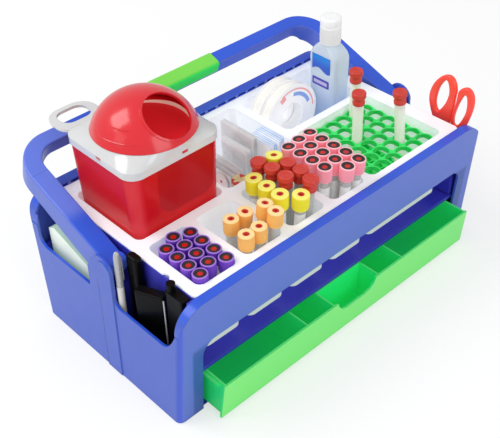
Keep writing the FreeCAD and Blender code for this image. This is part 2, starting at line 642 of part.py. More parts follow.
class Well:
    """Well of the insert: its left front corner at the rim, its width and depth, and its floor height."""

    def __init__(self, left, front, width, depth, floor):
        self.left = left
        self.front = front
        self.width = width
        self.depth = depth
        self.floor = floor
        self.middle = V(left + width / 2, front + depth / 2, floor)

    def at(self, x, y, z=0):
        """Point measured from the well's left front corner and its floor."""
        return V(self.left + x, self.front + y, self.floor + z)

    def block(self, grow, low, high):
        sections = []
        for z in (low, high):
            draft = dim.well_draft * (RIM_TOP - z) / dim.deep_well
            sections.append((self.width / 2 + grow - draft, self.depth / 2 + grow - draft,
                             dim.well_radius + grow - draft, z, self.middle.x, self.middle.y))
        return tapered(sections)


CELL_WIDTH = 2 * dim.tube_radius + dim.cell_clearance
CELL_PITCH = CELL_WIDTH + dim.lattice_bar
RACK_WIDTH = dim.rack_cells * CELL_PITCH + 2 * dim.rack_border
RACK_WELL_WIDTH = RACK_WIDTH + dim.rack_side_clearance
RACK_WELL_DEPTH = RACK_WIDTH + dim.rack_depth_clearance
TUBE_WELLS = [Well(WELL_LEFT + number * dim.tube_well_pitch, WELL_FRONT, dim.tube_well_width,
                   dim.tube_well_depth, DEEP_FLOOR) for number in range(4)]
TUBE_WELL_BACK = WELL_FRONT + dim.tube_well_depth
RACK_LEFT = TUBE_WELLS[3].left + dim.tube_well_width + dim.rack_well_web
RACK_WELL = Well(RACK_LEFT, WELL_FRONT, RACK_WELL_WIDTH, RACK_WELL_DEPTH, DEEP_FLOOR)
SHARPS_WELL = Well(WELL_LEFT, TUBE_WELL_BACK + dim.sharps_well_web, dim.sharps_well_width,
                   dim.sharps_well_depth, SHALLOW_FLOOR)
PACKET_WELL = Well(WELL_LEFT + dim.sharps_well_width + dim.packet_well_side_web,
                   TUBE_WELL_BACK + dim.packet_well_web, dim.packet_well_width,
                   dim.packet_well_depth, SHALLOW_FLOOR)
TAPE_WELL_WIDTH = max(RACK_WELL_WIDTH, 2 * dim.spool_radius + dim.rear_spool_shift + dim.bottle_width + 3.6)
TAPE_WELL = Well(RACK_LEFT, WELL_FRONT + RACK_WELL_DEPTH + dim.tape_well_web, TAPE_WELL_WIDTH,
                 dim.tape_well_depth, SHALLOW_FLOOR)


def make_insert():
    middle_y = (RIM_FRONT + RIM_BACK) / 2
    half_y = (RIM_BACK - RIM_FRONT) / 2
    rim = tapered([(RIM_HALF, half_y, dim.corner_radius, z, 0, middle_y) for z in (RIM_LOW, RIM_TOP)])
    notch = Part.makeCylinder(dim.rim_notch, dim.rim_thickness + 10,
                              V(-RIM_HALF - dim.rim_notch / 2, RIM_FRONT + dim.rim_notch_place, RIM_LOW - 5))
    wells = TUBE_WELLS + [RACK_WELL, SHARPS_WELL, PACKET_WELL, TAPE_WELL]
    hollows = [well.block(0, well.floor, RIM_TOP + 0.5) for well in wells]
    shape_part("insert_rim", cut(rim, [notch] + hollows))
    cups = []
    for well, hollow in zip(wells, hollows):
        cups.append(well.block(dim.insert_wall, well.floor - dim.insert_wall, RIM_LOW).cut(hollow))
    shape_part("insert_wells", Part.makeCompound(cups))


# Sharps container
SHARPS = SHARPS_WELL.middle
SHARPS_LOW = SHALLOW_FLOOR + dim.floor_gap
SHARPS_TOP = SHARPS_LOW + dim.sharps_height
SKIRT_LOW = SHARPS_TOP - dim.lid_overlap
SKIRT_TOP = SKIRT_LOW + dim.lid_skirt
LID_TOP = SHARPS_TOP + dim.lid_rise
DOME_CENTRE = V(SHARPS.x + dim.dome_shift_x, SHARPS.y + dim.dome_shift_y,
                LID_TOP - dim.dome_sink + dim.dome_gap)


def sharps_square(width, radius, low, high):
    """Upright rounded block on the container's middle line, a little longer along X than deep."""
    half = width / 2
    return tapered([(half + dim.sharps_extra / 2, half, radius, z, SHARPS.x, SHARPS.y) for z in (low, high)])


def make_sharps_body():
    wall = dim.sharps_wall
    radius = dim.sharps_radius
    foot = dim.sharps_foot / 2
    head = dim.sharps_head / 2
    more = dim.sharps_extra / 2
    outer = tapered([(foot + more, foot, radius, SHARPS_LOW, SHARPS.x, SHARPS.y),
                     (head + more, head, radius, SHARPS_TOP, SHARPS.x, SHARPS.y)])
    foot = foot - wall
    head = head - wall
    inner = tapered([(foot + more, foot, radius - wall, SHARPS_LOW + wall, SHARPS.x, SHARPS.y),
                     (head + more, head, radius - wall, SHARPS_TOP + 1, SHARPS.x, SHARPS.y)])
    shape_part("sharps_body", outer.cut(inner))


def make_sharps_lid():
    """White lid: a skirt over the body and a shoulder that rises to a round collar."""
    half = dim.lid_width / 2
    long_half = half + dim.sharps_extra / 2
    turn = V(DOME_CENTRE.x, DOME_CENTRE.y, 0)
    bore = dim.collar_radius - dim.collar_wall

    def shoulder(inset):
        low = rounded_rect(long_half - inset, half - inset, dim.lid_radius, SKIRT_TOP - inset * 0.4,
                           SHARPS.x, SHARPS.y)
        ring = Part.makeCircle(dim.collar_radius + dim.collar_wall - inset, turn + V(0, 0, LID_TOP - inset),
                               V(0, 0, 1))
        return Part.makeLoft([low, Part.Wire(ring)], True, False)

    skirt = sharps_square(dim.lid_width, dim.lid_radius, SKIRT_LOW, SKIRT_TOP)
    body_space = sharps_square(dim.sharps_head + 0.1, dim.sharps_radius, SKIRT_LOW - 1, SHARPS_TOP + 0.1)
    hollow = sharps_square(dim.sharps_head - 4, dim.sharps_radius, SHARPS_TOP - 1, SKIRT_TOP - 1)
    collar_foot = turn + V(0, 0, LID_TOP - dim.collar_drop)
    collar = Part.makeCylinder(dim.collar_radius, dim.collar_height, collar_foot)
    mouth = Part.makeCylinder(bore, 60, turn + V(0, 0, LID_TOP - 40))
    lid = fuse([skirt, shoulder(0), collar])
    lid = cut(lid, [body_space, hollow, shoulder(dim.lid_wall), mouth])
    reach = dim.window_depth
    high = SKIRT_TOP - 0.4
    low = high - dim.window_height
    wide = dim.window_width / 2
    left_x = SHARPS.x - long_half
    left_y = SHARPS.y + dim.left_window_y
    front_x = SHARPS.x + dim.front_window_x
    windows = [
        box(left_x - reach, left_x + reach, left_y - wide, left_y + wide, low, high),
        box(front_x - wide, front_x + wide, SHARPS.y - half - reach, SHARPS.y - half + reach, low, high),
    ]
    shape_part("sharps_lid", cut(lid, windows))
    shape_part("sharps_shutter", Part.makeCylinder(bore - 0.05, dim.shutter_thickness, collar_foot))


def make_carry_loop():
    """Flat flexible ring standing out from the back of the lid."""
    high = SKIRT_TOP - 1
    low = high - dim.loop_thickness
    x = SHARPS.x - dim.loop_shift
    y = SHARPS.y + dim.lid_width / 2 + dim.loop_reach / 2
    half_x = dim.loop_width / 2
    half_y = dim.loop_reach / 2
    loop = tapered([(half_x, half_y + 3, 19, z, x, y - 3) for z in (low, high)])
    hole = tapered([(half_x - dim.loop_band, half_y - 7, 11, z, x, y + 1) for z in (low - 1, high + 1)])
    lid_space = sharps_square(dim.lid_width + 0.02, dim.lid_radius, SKIRT_LOW, LID_TOP)
    shape_part("carry_loop", loop.cut(hole).cut(lid_space))


def make_dome():
    """Red dome with a round opening tipped to the front, and a raised lip round it."""
    radius = dim.dome_radius
    tilt = math.radians(dim.dome_tilt)
    axis = V(0.1, -math.sin(tilt), math.cos(tilt))
    axis.normalize()

    def ball(size):
        return Part.makeSphere(size, DOME_CENTRE)

    above = Part.makeBox(200, 200, 100, V(DOME_CENTRE.x - 100, DOME_CENTRE.y - 100, LID_TOP + dim.dome_gap))
    opening = radius * math.sin(math.radians(dim.dome_opening))
    hole = Part.makeCylinder(opening, 80, DOME_CENTRE, axis)
    lip = Part.makeCylinder(opening + dim.dome_lip, 80, DOME_CENTRE, axis).cut(hole)
    lip = lip.common(ball(radius + dim.dome_lip_proud)).cut(ball(radius - 1))
    shell = ball(radius).cut(ball(radius - dim.dome_wall)).common(above).cut(hole)
    shape_part("sharps_dome", shell.fuse(lip).removeSplitter())


# Rack
RACK_LOW = DEEP_FLOOR + dim.floor_gap


def make_lattice(name, height):
    """Square net with one cell cut out and repeated along and across."""
    body = new_body(name)
    plan = new_sketch(body, "Plan", "XY_Plane")
    width = "(2 * tube_radius + cell_clearance)"
    half = f"(rack_cells * ({width} + lattice_bar) / 2 + rack_border)"
    draw_box(plan, f"-{half}", half, f"-{half}", half)
    pad(body, plan, "lattice_height")
    cell = new_sketch(body, "Cell", "XY_Plane", "-1")
    span = f"((rack_cells - 1) * ({width} + lattice_bar))"
    near = f"-({span} + {width}) / 2"
    draw_box(cell, near, f"{near} + {width}", near, f"{near} + {width}")
    first = pocket(body, cell, "lattice_height + 2")
    doc.recompute()
    cells = body.newObject("PartDesign::MultiTransform", "Cells")
    cells.Originals = [first]
    rows = []
    for axis in ("H_Axis", "V_Axis"):
        row = doc.addObject("PartDesign::LinearPattern", "Row")
        row.Direction = (cell, [axis])
        bind(row, "Length", span)
        row.Occurrences = int(dim.rack_cells)
        rows.append(row)
    cells.Transformations = rows
    body.Tip = cells
    move_body(body, V(RACK_WELL.middle.x, RACK_WELL.middle.y, height))


def make_rack():
    upper = RACK_LOW + dim.rack_height - dim.lattice_height
    lower = RACK_LOW + dim.lower_lattice_lift
    make_lattice("rack_upper_lattice", upper)
    make_lattice("rack_lower_lattice", lower)
    posts = []
    reach = RACK_WIDTH / 2 - dim.post_radius - dim.post_inset
    for sign_x in (-1, 1):
        for sign_y in (-1, 1):
            foot = V(RACK_WELL.middle.x + sign_x * reach, RACK_WELL.middle.y + sign_y * reach, RACK_LOW)
            above_lower = foot + V(0, 0, dim.lower_lattice_lift + dim.lattice_height)
            posts.append(Part.makeCylinder(dim.post_radius, dim.lower_lattice_lift, foot))
            posts.append(Part.makeCylinder(dim.post_radius, upper - lower - dim.lattice_height, above_lower))
    shape_part("rack_posts", Part.makeCompound(posts))


# Tubes
def placed(shape, base, top):
    """The upright shape moved so that its axis runs from base towards top."""
    moved = shape.copy()
    moved.Placement = FreeCAD.Placement(base, FreeCAD.Rotation(V(0, 0, 1), top - base))
    return moved


def glass_tube(length):
    """Round-bottomed tube standing on its lowest point, open at the top."""
    outer = dim.tube_radius
    inner = outer - dim.tube_wall
    centre = V(0, 0, outer)
    shell = Part.makeCylinder(outer, length - outer, centre).fuse(Part.makeSphere(outer, centre))
    hollow = Part.makeCylinder(inner, length, centre).fuse(Part.makeSphere(inner, centre))
    return shell.removeSplitter().cut(hollow)


def shield_cap(radius, mouth, length):
    """Push-on safety cap: its top ring leaves the stopper showing through the mouth."""
    low = length - dim.cap_height
    bore = dim.tube_radius + dim.cap_fit
    return turned([(bore, low), (radius - 0.5, low), (radius, low + 1), (radius, length - 0.8),
                   (radius - 0.8, length), (mouth, length), (mouth, length - 3), (bore, length - 3.6)])


def cap_plug(mouth, length, well):
    """Rubber stopper inside a cap, hollowed for its red centre."""
    plug = dim.tube_radius - dim.tube_wall - dim.plug_fit
    shoulder = mouth - dim.cap_fit
    return turned([(0, length - 13), (plug, length - 13), (plug, length - 5), (shoulder, length - 4.9),
                   (shoulder, length - 0.7), (well, length - 0.7), (well, length - 2.2), (0, length - 2.2)])


def red_centre(radius, length):
    return turned([(0, length - 2.15), (radius, length - 2.15), (radius, length - 1), (0, length - 1)])


def bare_stopper(radius, length):
    """Red rubber stopper with a dished head, a waist and a lower collar."""
    plug = dim.tube_radius - dim.tube_wall - dim.plug_fit
    waist = radius * 0.78
    collar = radius * 0.87
    return turned([
        (0, length - 22), (plug - 0.4, length - 22), (plug, length - 20), (plug, length - 15.4),
        (collar - 0.6, length - 15.4), (collar, length - 14.6), (collar, length - 10.6),
        (waist, length - 9.6), (waist, length - 7.6), (radius, length - 6.4), (radius, length - 1.2),
        (radius - 1, length), (3.4, length), (2.4, length - 1.2), (0, length - 1.2)])


def make_capped(name, places, radius, mouth, well, split_ring):
    """Caps, stoppers, red centres and glass of one family of tubes, each family in a few groups."""
    caps = []
    plugs = []
    centres = []
    tubes = []
    for base, top in places:
        length = base.distanceToPoint(top)
        caps.append(placed(shield_cap(radius, mouth, length), base, top))
        if split_ring:
            plugs.append(placed(cap_plug(mouth, length, well), base, top))
            centres.append(placed(red_centre(well - dim.cap_fit, length), base, top))
        else:
            centres.append(placed(cap_plug(mouth, length, 1.2), base, top))
        tubes.append(placed(glass_tube(length - dim.cap_cover), base, top))
    shape_part(f"{name}_caps", Part.makeCompound(caps))
    if split_ring:
        shape_part(f"{name}_stoppers", Part.makeCompound(plugs))
    shape_part(f"{name}_centres", Part.makeCompound(centres))
    return tubes


def fanned(well, tops):
    """Base and top of each tube in a well: the bases lie closer together than the tops."""
    places = []
    middle = well.middle
    for x, y, z in tops:
        top = well.at(x, y, z)
        base = V(middle.x + dim.tube_fan * (top.x - middle.x), middle.y + dim.tube_fan * (top.y - middle.y),
                 DEEP_FLOOR + dim.tube_base_gap)
        places.append((base, top))
    return places


def make_purple_tubes():
    well = TUBE_WELLS[0]
    places = []
    for column, (first_y, pitch) in enumerate(((8.8, 16.3), (15.9, 17), (8.8, 17.3))):
        x = 8.7 + column * dim.purple_row
        for row in range(4):
            y = first_y + row * pitch
            places.append((well.at(x, y, dim.tube_base_gap), well.at(x, y, dim.purple_length)))
    tubes = make_capped("purple", places, dim.purple_cap, dim.tube_radius - 0.6, 2.9, True)
    shape_part("purple_tubes", Part.makeCompound(tubes))


def make_orange_tubes():
    """Four tubes close to upright, and two that lean to the right in front."""
    well = TUBE_WELLS[1]
    places = []
    for (base_x, base_y), (top_x, top_y), extra in (
            ((14.6, 38.4), (14.6, 38.4), 0), ((30.1, 47.4), (32.1, 36.9), 0),
            ((9.1, 10.9), (9.1, 10.9), 0), ((26.1, 10.9), (26.1, 10.9), 0),
            ((34.6, 27.4), (45.9, 22.6), 11), ((40.3, 10.9), (43.6, 5.6), 12)):
        places.append((well.at(base_x, base_y, dim.tube_base_gap),
                       well.at(top_x, top_y, dim.orange_length + extra)))
    tubes = make_capped("orange", places, dim.orange_cap, 3.4, 1.2, False)
    shape_part("orange_tubes", Part.makeCompound(tubes))


def stoppered(places, radius):
    """Stoppers and glass of tubes closed with a bare rubber stopper."""
    stoppers = []
    tubes = []
    for base, top in places:
        length = base.distanceToPoint(top)
        stoppers.append(placed(bare_stopper(radius, length), base, top))
        tubes.append(placed(glass_tube(length - dim.stopper_cover), base, top))
    return Part.makeCompound(stoppers), tubes


def make_middle_tubes():
    """Yellow caps and red stoppers mixed in the third well."""
    well = TUBE_WELLS[2]
    low = dim.yellow_length
    high = dim.yellow_length + 8
    yellow = [(7.4, 62.3, low), (7.4, 43.3, low), (7.4, 24.3, low), (21.6, 9, low), (42, 68, high)]
    red = [(24, 72.6, high), (26.6, 55, high), (43.9, 49.3, high), (26.2, 35, high), (43.9, 31.3, high),
           (39.9, 13.4, high)]
    capped = make_capped("yellow", fanned(well, yellow), dim.yellow_cap, 3.4, 1.2, False)
    stoppers, tubes = stoppered(fanned(well, red), dim.stopper_radius)
    shape_part("red_stoppers", stoppers)
    shape_part("middle_well_tubes", Part.makeCompound(capped + tubes))


def make_mottled_tube():
    places = [(PACKET_WELL.at(27, 11, dim.tube_base_gap), PACKET_WELL.at(25, 10, dim.mottled_length))]
    stopper, tubes = stoppered(places, dim.stopper_radius)
    shape_part("mottled_stopper", stopper)
    shape_part("mottled_tube", Part.makeCompound(tubes))


def make_pink_tubes():
    well = TUBE_WELLS[3]
    tops = []
    for x, last_y, count in ((6.35, 71.4, 4), (23.85, 73.4, 5), (41.35, 74.1, 5)):
        for row in range(count):
            tops.append((x, last_y - row * dim.pink_row, dim.pink_length))
    tubes = make_capped("pink", fanned(well, tops), dim.pink_cap, dim.tube_radius - 0.5, 3, True)
    shape_part("pink_tubes", Part.makeCompound(tubes))


def make_rack_tubes():
    """Three stoppered glass tubes leaning a little in the rack's cells."""
    low = RACK_LOW + dim.lower_lattice_lift + dim.lattice_height / 2
    high = RACK_LOW + dim.rack_height - dim.lattice_height / 2
    foot = DEEP_FLOOR + dim.tube_base_gap + 0.2
    places = []
    for column, row, (low_x, low_y), (high_x, high_y), extra in (
            (0, 1, (1.2, 0.6), (-0.9, -0.6), 1), (2, -1, (1.4, -1.4), (-1.4, 1.2), 0),
            (2, 3, (1.2, 0.6), (-1.3, -0.9), 0)):
        x = RACK_WELL.middle.x + (column - 0.5) * CELL_PITCH
        y = RACK_WELL.middle.y + (row - 0.5) * CELL_PITCH
        first = V(x + low_x, y + low_y, low)
        second = V(x + high_x, y + high_y, high)
        slope = (second - first) * (1 / (high - low))
        places.append((first + slope * (foot - low),
                       first + slope * (DEEP_FLOOR + dim.rack_tube_length + extra - low)))
    stoppers, tubes = stoppered(places, dim.rack_stopper)
    shape_part("rack_stoppers", stoppers)
    shape_part("rack_tubes", Part.makeCompound(tubes))


# Bottle and tape
BOTTLE = TAPE_WELL.at(TAPE_WELL_WIDTH - dim.bottle_side_gap - dim.bottle_width / 2, dim.bottle_place,
                      dim.floor_gap)
NECK_Z = BOTTLE.z + dim.bottle_height


def make_bottle():
    half_x = dim.bottle_width / 2
    half_y = dim.bottle_depth / 2
    shoulder_z = NECK_Z - dim.shoulder_drop
    neck = dim.bottle_cap_radius - dim.neck_wall
    lower = tapered([(half_x, half_y, dim.bottle_radius, z, BOTTLE.x, BOTTLE.y)
                     for z in (BOTTLE.z, shoulder_z)])
    shoulder = tapered([(half_x, half_y, dim.bottle_radius, shoulder_z, BOTTLE.x, BOTTLE.y),
                        (neck, neck, neck - 0.5, NECK_Z, BOTTLE.x, BOTTLE.y)])
    throat = Part.makeCylinder(neck - 0.5, 14, V(BOTTLE.x, BOTTLE.y, NECK_Z - 2))
    shape_part("bottle_body", fuse([lower, shoulder, throat]))

    face_x = BOTTLE.x - half_x
    wide = half_y - dim.label_margin
    shape_part("bottle_label", box(face_x - dim.label_thickness, face_x, BOTTLE.y - wide, BOTTLE.y + wide,
                                   BOTTLE.z + 20, shoulder_z - 3))

    body = new_body("bottle_cap")
    ring = new_sketch(body, "Ring", "XY_Plane")
    draw_circle(ring, "0", "0", "bottle_cap_radius")
    pad(body, ring, "bottle_cap_height - flip_lid_height - 0.3")
    bore = new_sketch(body, "Bore", "XY_Plane", "-1")
    draw_circle(bore, "0", "0", "bottle_cap_radius - neck_wall")
    pocket(body, bore, "13.2")
    spout = new_sketch(body, "Spout", "XY_Plane", "5")
    draw_circle(spout, "0", "0", "spout_radius")
    pocket(body, spout, "bottle_cap_height")
    move_body(body, V(BOTTLE.x, BOTTLE.y, NECK_Z))

    lid = new_body("bottle_flip_lid")
    disc = new_sketch(lid, "Disc", "XY_Plane", "bottle_cap_height - flip_lid_height")
    draw_circle(disc, "0", "0", "bottle_cap_radius")
    pad(lid, disc, "flip_lid_height")
    flat = new_sketch(lid, "HingeFlat", "XY_Plane", "bottle_cap_height - flip_lid_height - 1")
    draw_box(flat, "-30", "30", "bottle_cap_radius - hinge_flat", "bottle_cap_radius + 20")
    pocket(lid, flat, "flip_lid_height + 2")
    move_body(lid, V(BOTTLE.x, BOTTLE.y, NECK_Z))


def make_spools():
    """Two tape spools standing on edge, one behind the other."""
    x = BOTTLE.x - dim.bottle_width / 2 - dim.label_thickness - dim.spool_gap - dim.spool_radius
    for number, name in enumerate(("tape_spool_front", "tape_spool_rear")):
        body = new_body(name)
        ring = new_sketch(body, "Ring", "XZ_Plane", "-spool_width")
        draw_circle(ring, "0", "spool_radius", "spool_radius")
        draw_circle(ring, "0", "spool_radius", "spool_bore")
        pad(body, ring, "spool_width")
        groove = new_sketch(body, "TapeEdge", "XZ_Plane", "-spool_width + spool_flange")
        draw_circle(groove, "0", "spool_radius", "spool_radius + 1")
        draw_circle(groove, "0", "spool_radius", "spool_radius - tape_sink")
        pocket(body, groove, "spool_width - 2 * spool_flange")
        front = TAPE_WELL.at(0, dim.spool_place + number * (dim.spool_width + dim.spool_gap), dim.floor_gap)
        move_body(body, V(x - number * dim.rear_spool_shift, front.y, front.z))


# Packets
def standing_sheet(well, x, y, thickness, width, height):
    """Thin block standing on the well's floor, its face to the side."""
    low = well.at(x, y, dim.floor_gap + 0.1)
    return Part.makeBox(thickness, width, height, low)


def make_packets():
    well = PACKET_WELL
    wrappers = [standing_sheet(well, 79.5 + number * dim.wrapper_pitch, 17 + number * 0.6,
                               dim.wrapper_thickness, dim.wrapper_width, dim.wrapper_height - number * 0.5)
                for number in range(int(dim.wrapper_count))]
    shape_part("striped_wrappers", Part.makeCompound(wrappers))
    greys = [standing_sheet(well, 69, 34, 7.5, 56, 76), standing_sheet(well, 57, 32, 8, 44, 64)]
    shape_part("grey_packets", Part.makeCompound(greys))
    pouches = [standing_sheet(well, x, y, dim.pouch_thickness, dim.pouch_width, height)
               for x, y, height in ((41, 20, 55), (32, 23, 53), (23, 26, 51))]
    shape_part("clear_pouches", Part.makeCompound(pouches))
    shape_part("spot_bandage", Part.makeCylinder(dim.spot_radius, 0.8, well.at(22.95, 36, 40.4), V(-1, 0, 0)))


# Pocket contents
def rounded_block(x0, x1, y0, y1, z0, z1, radius):
    block = box(x0, x1, y0, y1, z0, z1)
    upright = [edge for edge in block.Edges if abs(edge.BoundBox.ZLength - (z1 - z0)) < 0.01]
    return block.makeFillet(radius, upright)


def make_left_pockets():
    inner = -POCKET_X
    floor = POCKET_FLOOR + 0.4
    front = dim.column_front
    back = dim.column_back
    side = inner - 10
    outline = [V(side, back + 14, floor), V(side, back + 82, floor), V(side, back + 82, floor + 60.6),
               V(side, back + 72, floor + 65.6), V(side, back + 54, floor + 60.6),
               V(side, back + 14, floor + 47.6)]
    shape_part("green_packet", prism(outline, V(-dim.packet_thickness, 0, 0)))

    foot = V(4.9 - TOP_HALF, front - 6.2, floor + 0.6)
    tip = V(8.1 - TOP_HALF, front - 3.3, floor + 104.1)
    length = foot.distanceToPoint(tip)
    radius = dim.pen_radius
    barrel = turned([(0, 0), (1, 0), (radius - 0.1, 9), (radius, length - 42), (0, length - 42)])
    shape_part("pen_barrel", placed(barrel, foot, tip))
    head = turned([(0, length - 41.9), (radius, length - 41.9), (radius, length - 9), (2.4, length - 8),
                   (2.3, length - 1), (1.6, length), (0, length)])
    clip = box(radius - 0.4, radius + 1.6, -1.3, 1.3, length - 40, length - 9)
    shape_part("pen_clip", placed(head.fuse(clip).removeSplitter(), foot, tip))

    top = floor + dim.marker_height
    marker = rounded_block(inner - 12, inner - 1.5, front - 21, front - 4, floor, top, 4.9)
    marker_top = [edge for edge in marker.Edges if edge.CenterOfMass.z > top - 0.1]
    shape_part("pocket_marker", marker.makeFillet(3.5, marker_top))

    width = dim.device_width
    top = floor + dim.device_height
    device = rounded_block(0, width, 0, dim.device_thickness, floor, top, 2)
    crown = [edge for edge in device.Edges if edge.CenterOfMass.z > top - 0.1]
    device = device.makeFillet(1.6, crown)
    face = box(3, width - 3, -0.4, -0.05, floor + 12, top - 6)
    turned_in = FreeCAD.Placement(V(inner - 22.8, front - 29.4, 0),
                                  FreeCAD.Rotation(V(0, 0, 1), -dim.device_yaw))
    shape_part("device_face", face, turned_in)

    top = floor + dim.second_height
    second = rounded_block(inner - 11.4, inner - 1.4, front - 88.3, front - 62, floor, top, 4)
    knob = Part.makeCylinder(4.4, 10, V(inner - 6.4, front - 67, top - 1))
    device.Placement = turned_in
    shape_part("pocket_devices", Part.makeCompound([device, second.fuse(knob).removeSplitter()]))


def scissor_point(x, y, z):
    """Point of the scissors measured from their rivet, which is above the right front pocket."""
    return V(TOP_HALF - 12.9 + x, FRONT_INNER + 28.6 + y, POCKET_FLOOR + 57 + z)


def finger_ring(outer, hole):
    """Flat ring through the given (y, z) points, with a hole through it."""
    def smooth(points):
        curve = Part.BSplineCurve()
        curve.interpolate([scissor_point(-dim.scissor_thickness / 2, y, z) for y, z in points],
                          PeriodicFlag=True)
        return Part.Face(Part.Wire(curve.toShape()))
    return smooth(outer).cut(smooth(hole)).extrude(V(dim.scissor_thickness, 0, 0))


def make_scissors():
    """Scissors standing in the right front pocket, points down: two halves crossing at the rivet."""
    thin = dim.blade_thickness
    outer_a = [
        (27, 43), (25, 61), (17, 75), (7, 83), (-3, 82), (-9, 67), (-6.5, 38), (-4, 21), (7,
        14), (18, 21),
    ]
    hole_a = [(17, 43), (14.5, 61), (7, 74), (1.5, 65), (3.5, 49), (12, 34)]
    outer_b = [
        (-12, 71), (-21, 78), (-29, 75), (-33, 64), (-31.5, 47), (-25, 25), (-17, 14), (-9, 13),
        (-5.5, 19), (-7.5, 35), (-10.5, 61),
    ]
    hole_b = [(-20, 67), (-14.6, 57), (-12, 41), (-13, 26), (-18, 30), (-22, 43), (-23, 59)]
    gap_line = [(-11.3, 93), (-10.7, 93), (-4.4, 8), (-5, 8)]
    shank_line_a = [(15, 25), (-3, 25), (-8, -5), (4, -54), (7, -54), (6, -5)]
    shank_line_b = [(-7.5, 23), (-22, 23), (-6, -5), (2, -54), (5, -54), (7, -5)]
    parting = prism([scissor_point(-5, y, z) for y, z in gap_line], V(10, 0, 0))
    shank_a = prism([scissor_point(0.1, y, z) for y, z in shank_line_a], V(thin, 0, 0))
    shank_b = prism([scissor_point(-0.1, y, z) for y, z in shank_line_b], V(-thin, 0, 0))
    rivet_hole = Part.makeCylinder(dim.rivet_radius + dim.rivet_fit, 10, scissor_point(-5, 0, 0), V(1, 0, 0))
    for name, ring, shank in (("a", finger_ring(outer_a, hole_a), shank_a),
                              ("b", finger_ring(outer_b, hole_b), shank_b)):
        handle = max(ring.cut(parting).cut(shank).Solids, key=lambda solid: solid.Volume)
        shape_part(f"scissor_handle_{name}", handle)
        shape_part(f"scissor_blade_{name}", shank.cut(rivet_hole))
    rivet = Part.makeCylinder(dim.rivet_radius, 2 * thin + 1.2, scissor_point(-thin - 0.6, 0, 0), V(1, 0, 0))
    head = Part.makeCylinder(dim.rivet_radius + 1.6, 0.8, scissor_point(thin + 0.15, 0, 0), V(1, 0, 0))
    shape_part("scissor_rivet", rivet.fuse(head).removeSplitter())


make_case()
make_liners()
make_base()
make_shelf()
make_guides()
make_drawer()
make_handle()
make_insert()
make_sharps_body()
make_sharps_lid()
make_carry_loop()
make_dome()
make_rack()
make_purple_tubes()
make_orange_tubes()
make_middle_tubes()
make_mottled_tube()
make_pink_tubes()
make_rack_tubes()
make_bottle()
make_spools()
make_packets()
make_left_pockets()
make_scissors()


def write_parts():
    doc.recompute()
    for thing in doc.Objects:
        if "Invalid" in thing.State or "Error" in thing.State:
            raise RuntimeError(f"{thing.Label} failed: {thing.State}")
    for part in parts:
        if part.Shape.isNull() or not part.Shape.isValid():
            raise RuntimeError(f"{part.Label} has no valid shape")
    for part in parts:
        part.Shape.exportStep(f"parts/{part.Label}.step")
        bounds = part.Shape.BoundBox
        print(f"{part.Label:24s} solids {len(part.Shape.Solids):3d}  volume {part.Shape.Volume:10.0f}  "
              f"x {bounds.XMin:7.1f} {bounds.XMax:7.1f}  y {bounds.YMin:7.1f} {bounds.YMax:7.1f}  "
              f"z {bounds.ZMin:6.1f} {bounds.ZMax:6.1f}")


write_parts()
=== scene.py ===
import json
import math

import bmesh
import bpy
import numpy as np
from mathutils import Matrix, Vector, noise


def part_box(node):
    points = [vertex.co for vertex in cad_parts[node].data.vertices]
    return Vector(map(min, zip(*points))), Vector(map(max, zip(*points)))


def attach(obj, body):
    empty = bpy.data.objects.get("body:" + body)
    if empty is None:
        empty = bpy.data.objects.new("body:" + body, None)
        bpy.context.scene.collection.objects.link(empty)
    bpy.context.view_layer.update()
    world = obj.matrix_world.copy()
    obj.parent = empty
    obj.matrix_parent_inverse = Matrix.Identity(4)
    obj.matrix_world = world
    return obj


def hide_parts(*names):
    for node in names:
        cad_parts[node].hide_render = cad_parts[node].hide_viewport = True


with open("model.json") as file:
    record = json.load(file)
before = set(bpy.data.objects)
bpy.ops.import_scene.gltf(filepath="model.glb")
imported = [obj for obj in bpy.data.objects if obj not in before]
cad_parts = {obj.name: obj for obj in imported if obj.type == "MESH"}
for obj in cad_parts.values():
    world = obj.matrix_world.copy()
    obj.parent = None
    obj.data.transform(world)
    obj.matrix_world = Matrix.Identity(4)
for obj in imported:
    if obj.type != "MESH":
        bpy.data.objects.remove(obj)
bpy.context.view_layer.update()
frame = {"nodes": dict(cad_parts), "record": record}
NODES = frame["nodes"]


# Camera
PICTURE_WIDTH = 500
PICTURE_HEIGHT = 438


def place_camera():
    """Camera at the photograph's angle: turned 42 degrees to the left end and 39 degrees above the floor."""
    turn = math.radians(-42.248)
    rise = math.radians(38.956)
    roll = math.radians(-1.793)
    place = (-0.56558, -0.59765, 0.73342)
    focal_pixels = 928.0
    aim_pixel = (250.1, 218.8)
    sensor = 36
    back = Vector((math.sin(turn) * math.cos(rise), -math.cos(turn) * math.cos(rise), math.sin(rise)))
    right = Vector((math.cos(turn), math.sin(turn), 0))
    up = back.cross(right)
    across = math.cos(roll) * right + math.sin(roll) * up
    upward = -math.sin(roll) * right + math.cos(roll) * up
    data = bpy.data.cameras.new("photo_camera")
    data.sensor_fit = "HORIZONTAL"
    data.sensor_width = sensor
    data.lens = focal_pixels * sensor / PICTURE_WIDTH
    data.shift_x = (PICTURE_WIDTH / 2 - aim_pixel[0]) / PICTURE_WIDTH
    data.shift_y = (aim_pixel[1] - PICTURE_HEIGHT / 2) / PICTURE_WIDTH
    data.clip_start = 0.01
    camera = bpy.data.objects.new("photo_camera", data)
    camera.matrix_world = Matrix.Translation(place) @ Matrix((across, upward, back)).transposed().to_4x4()
    bpy.context.scene.collection.objects.link(camera)
    bpy.context.scene.camera = camera


place_camera()


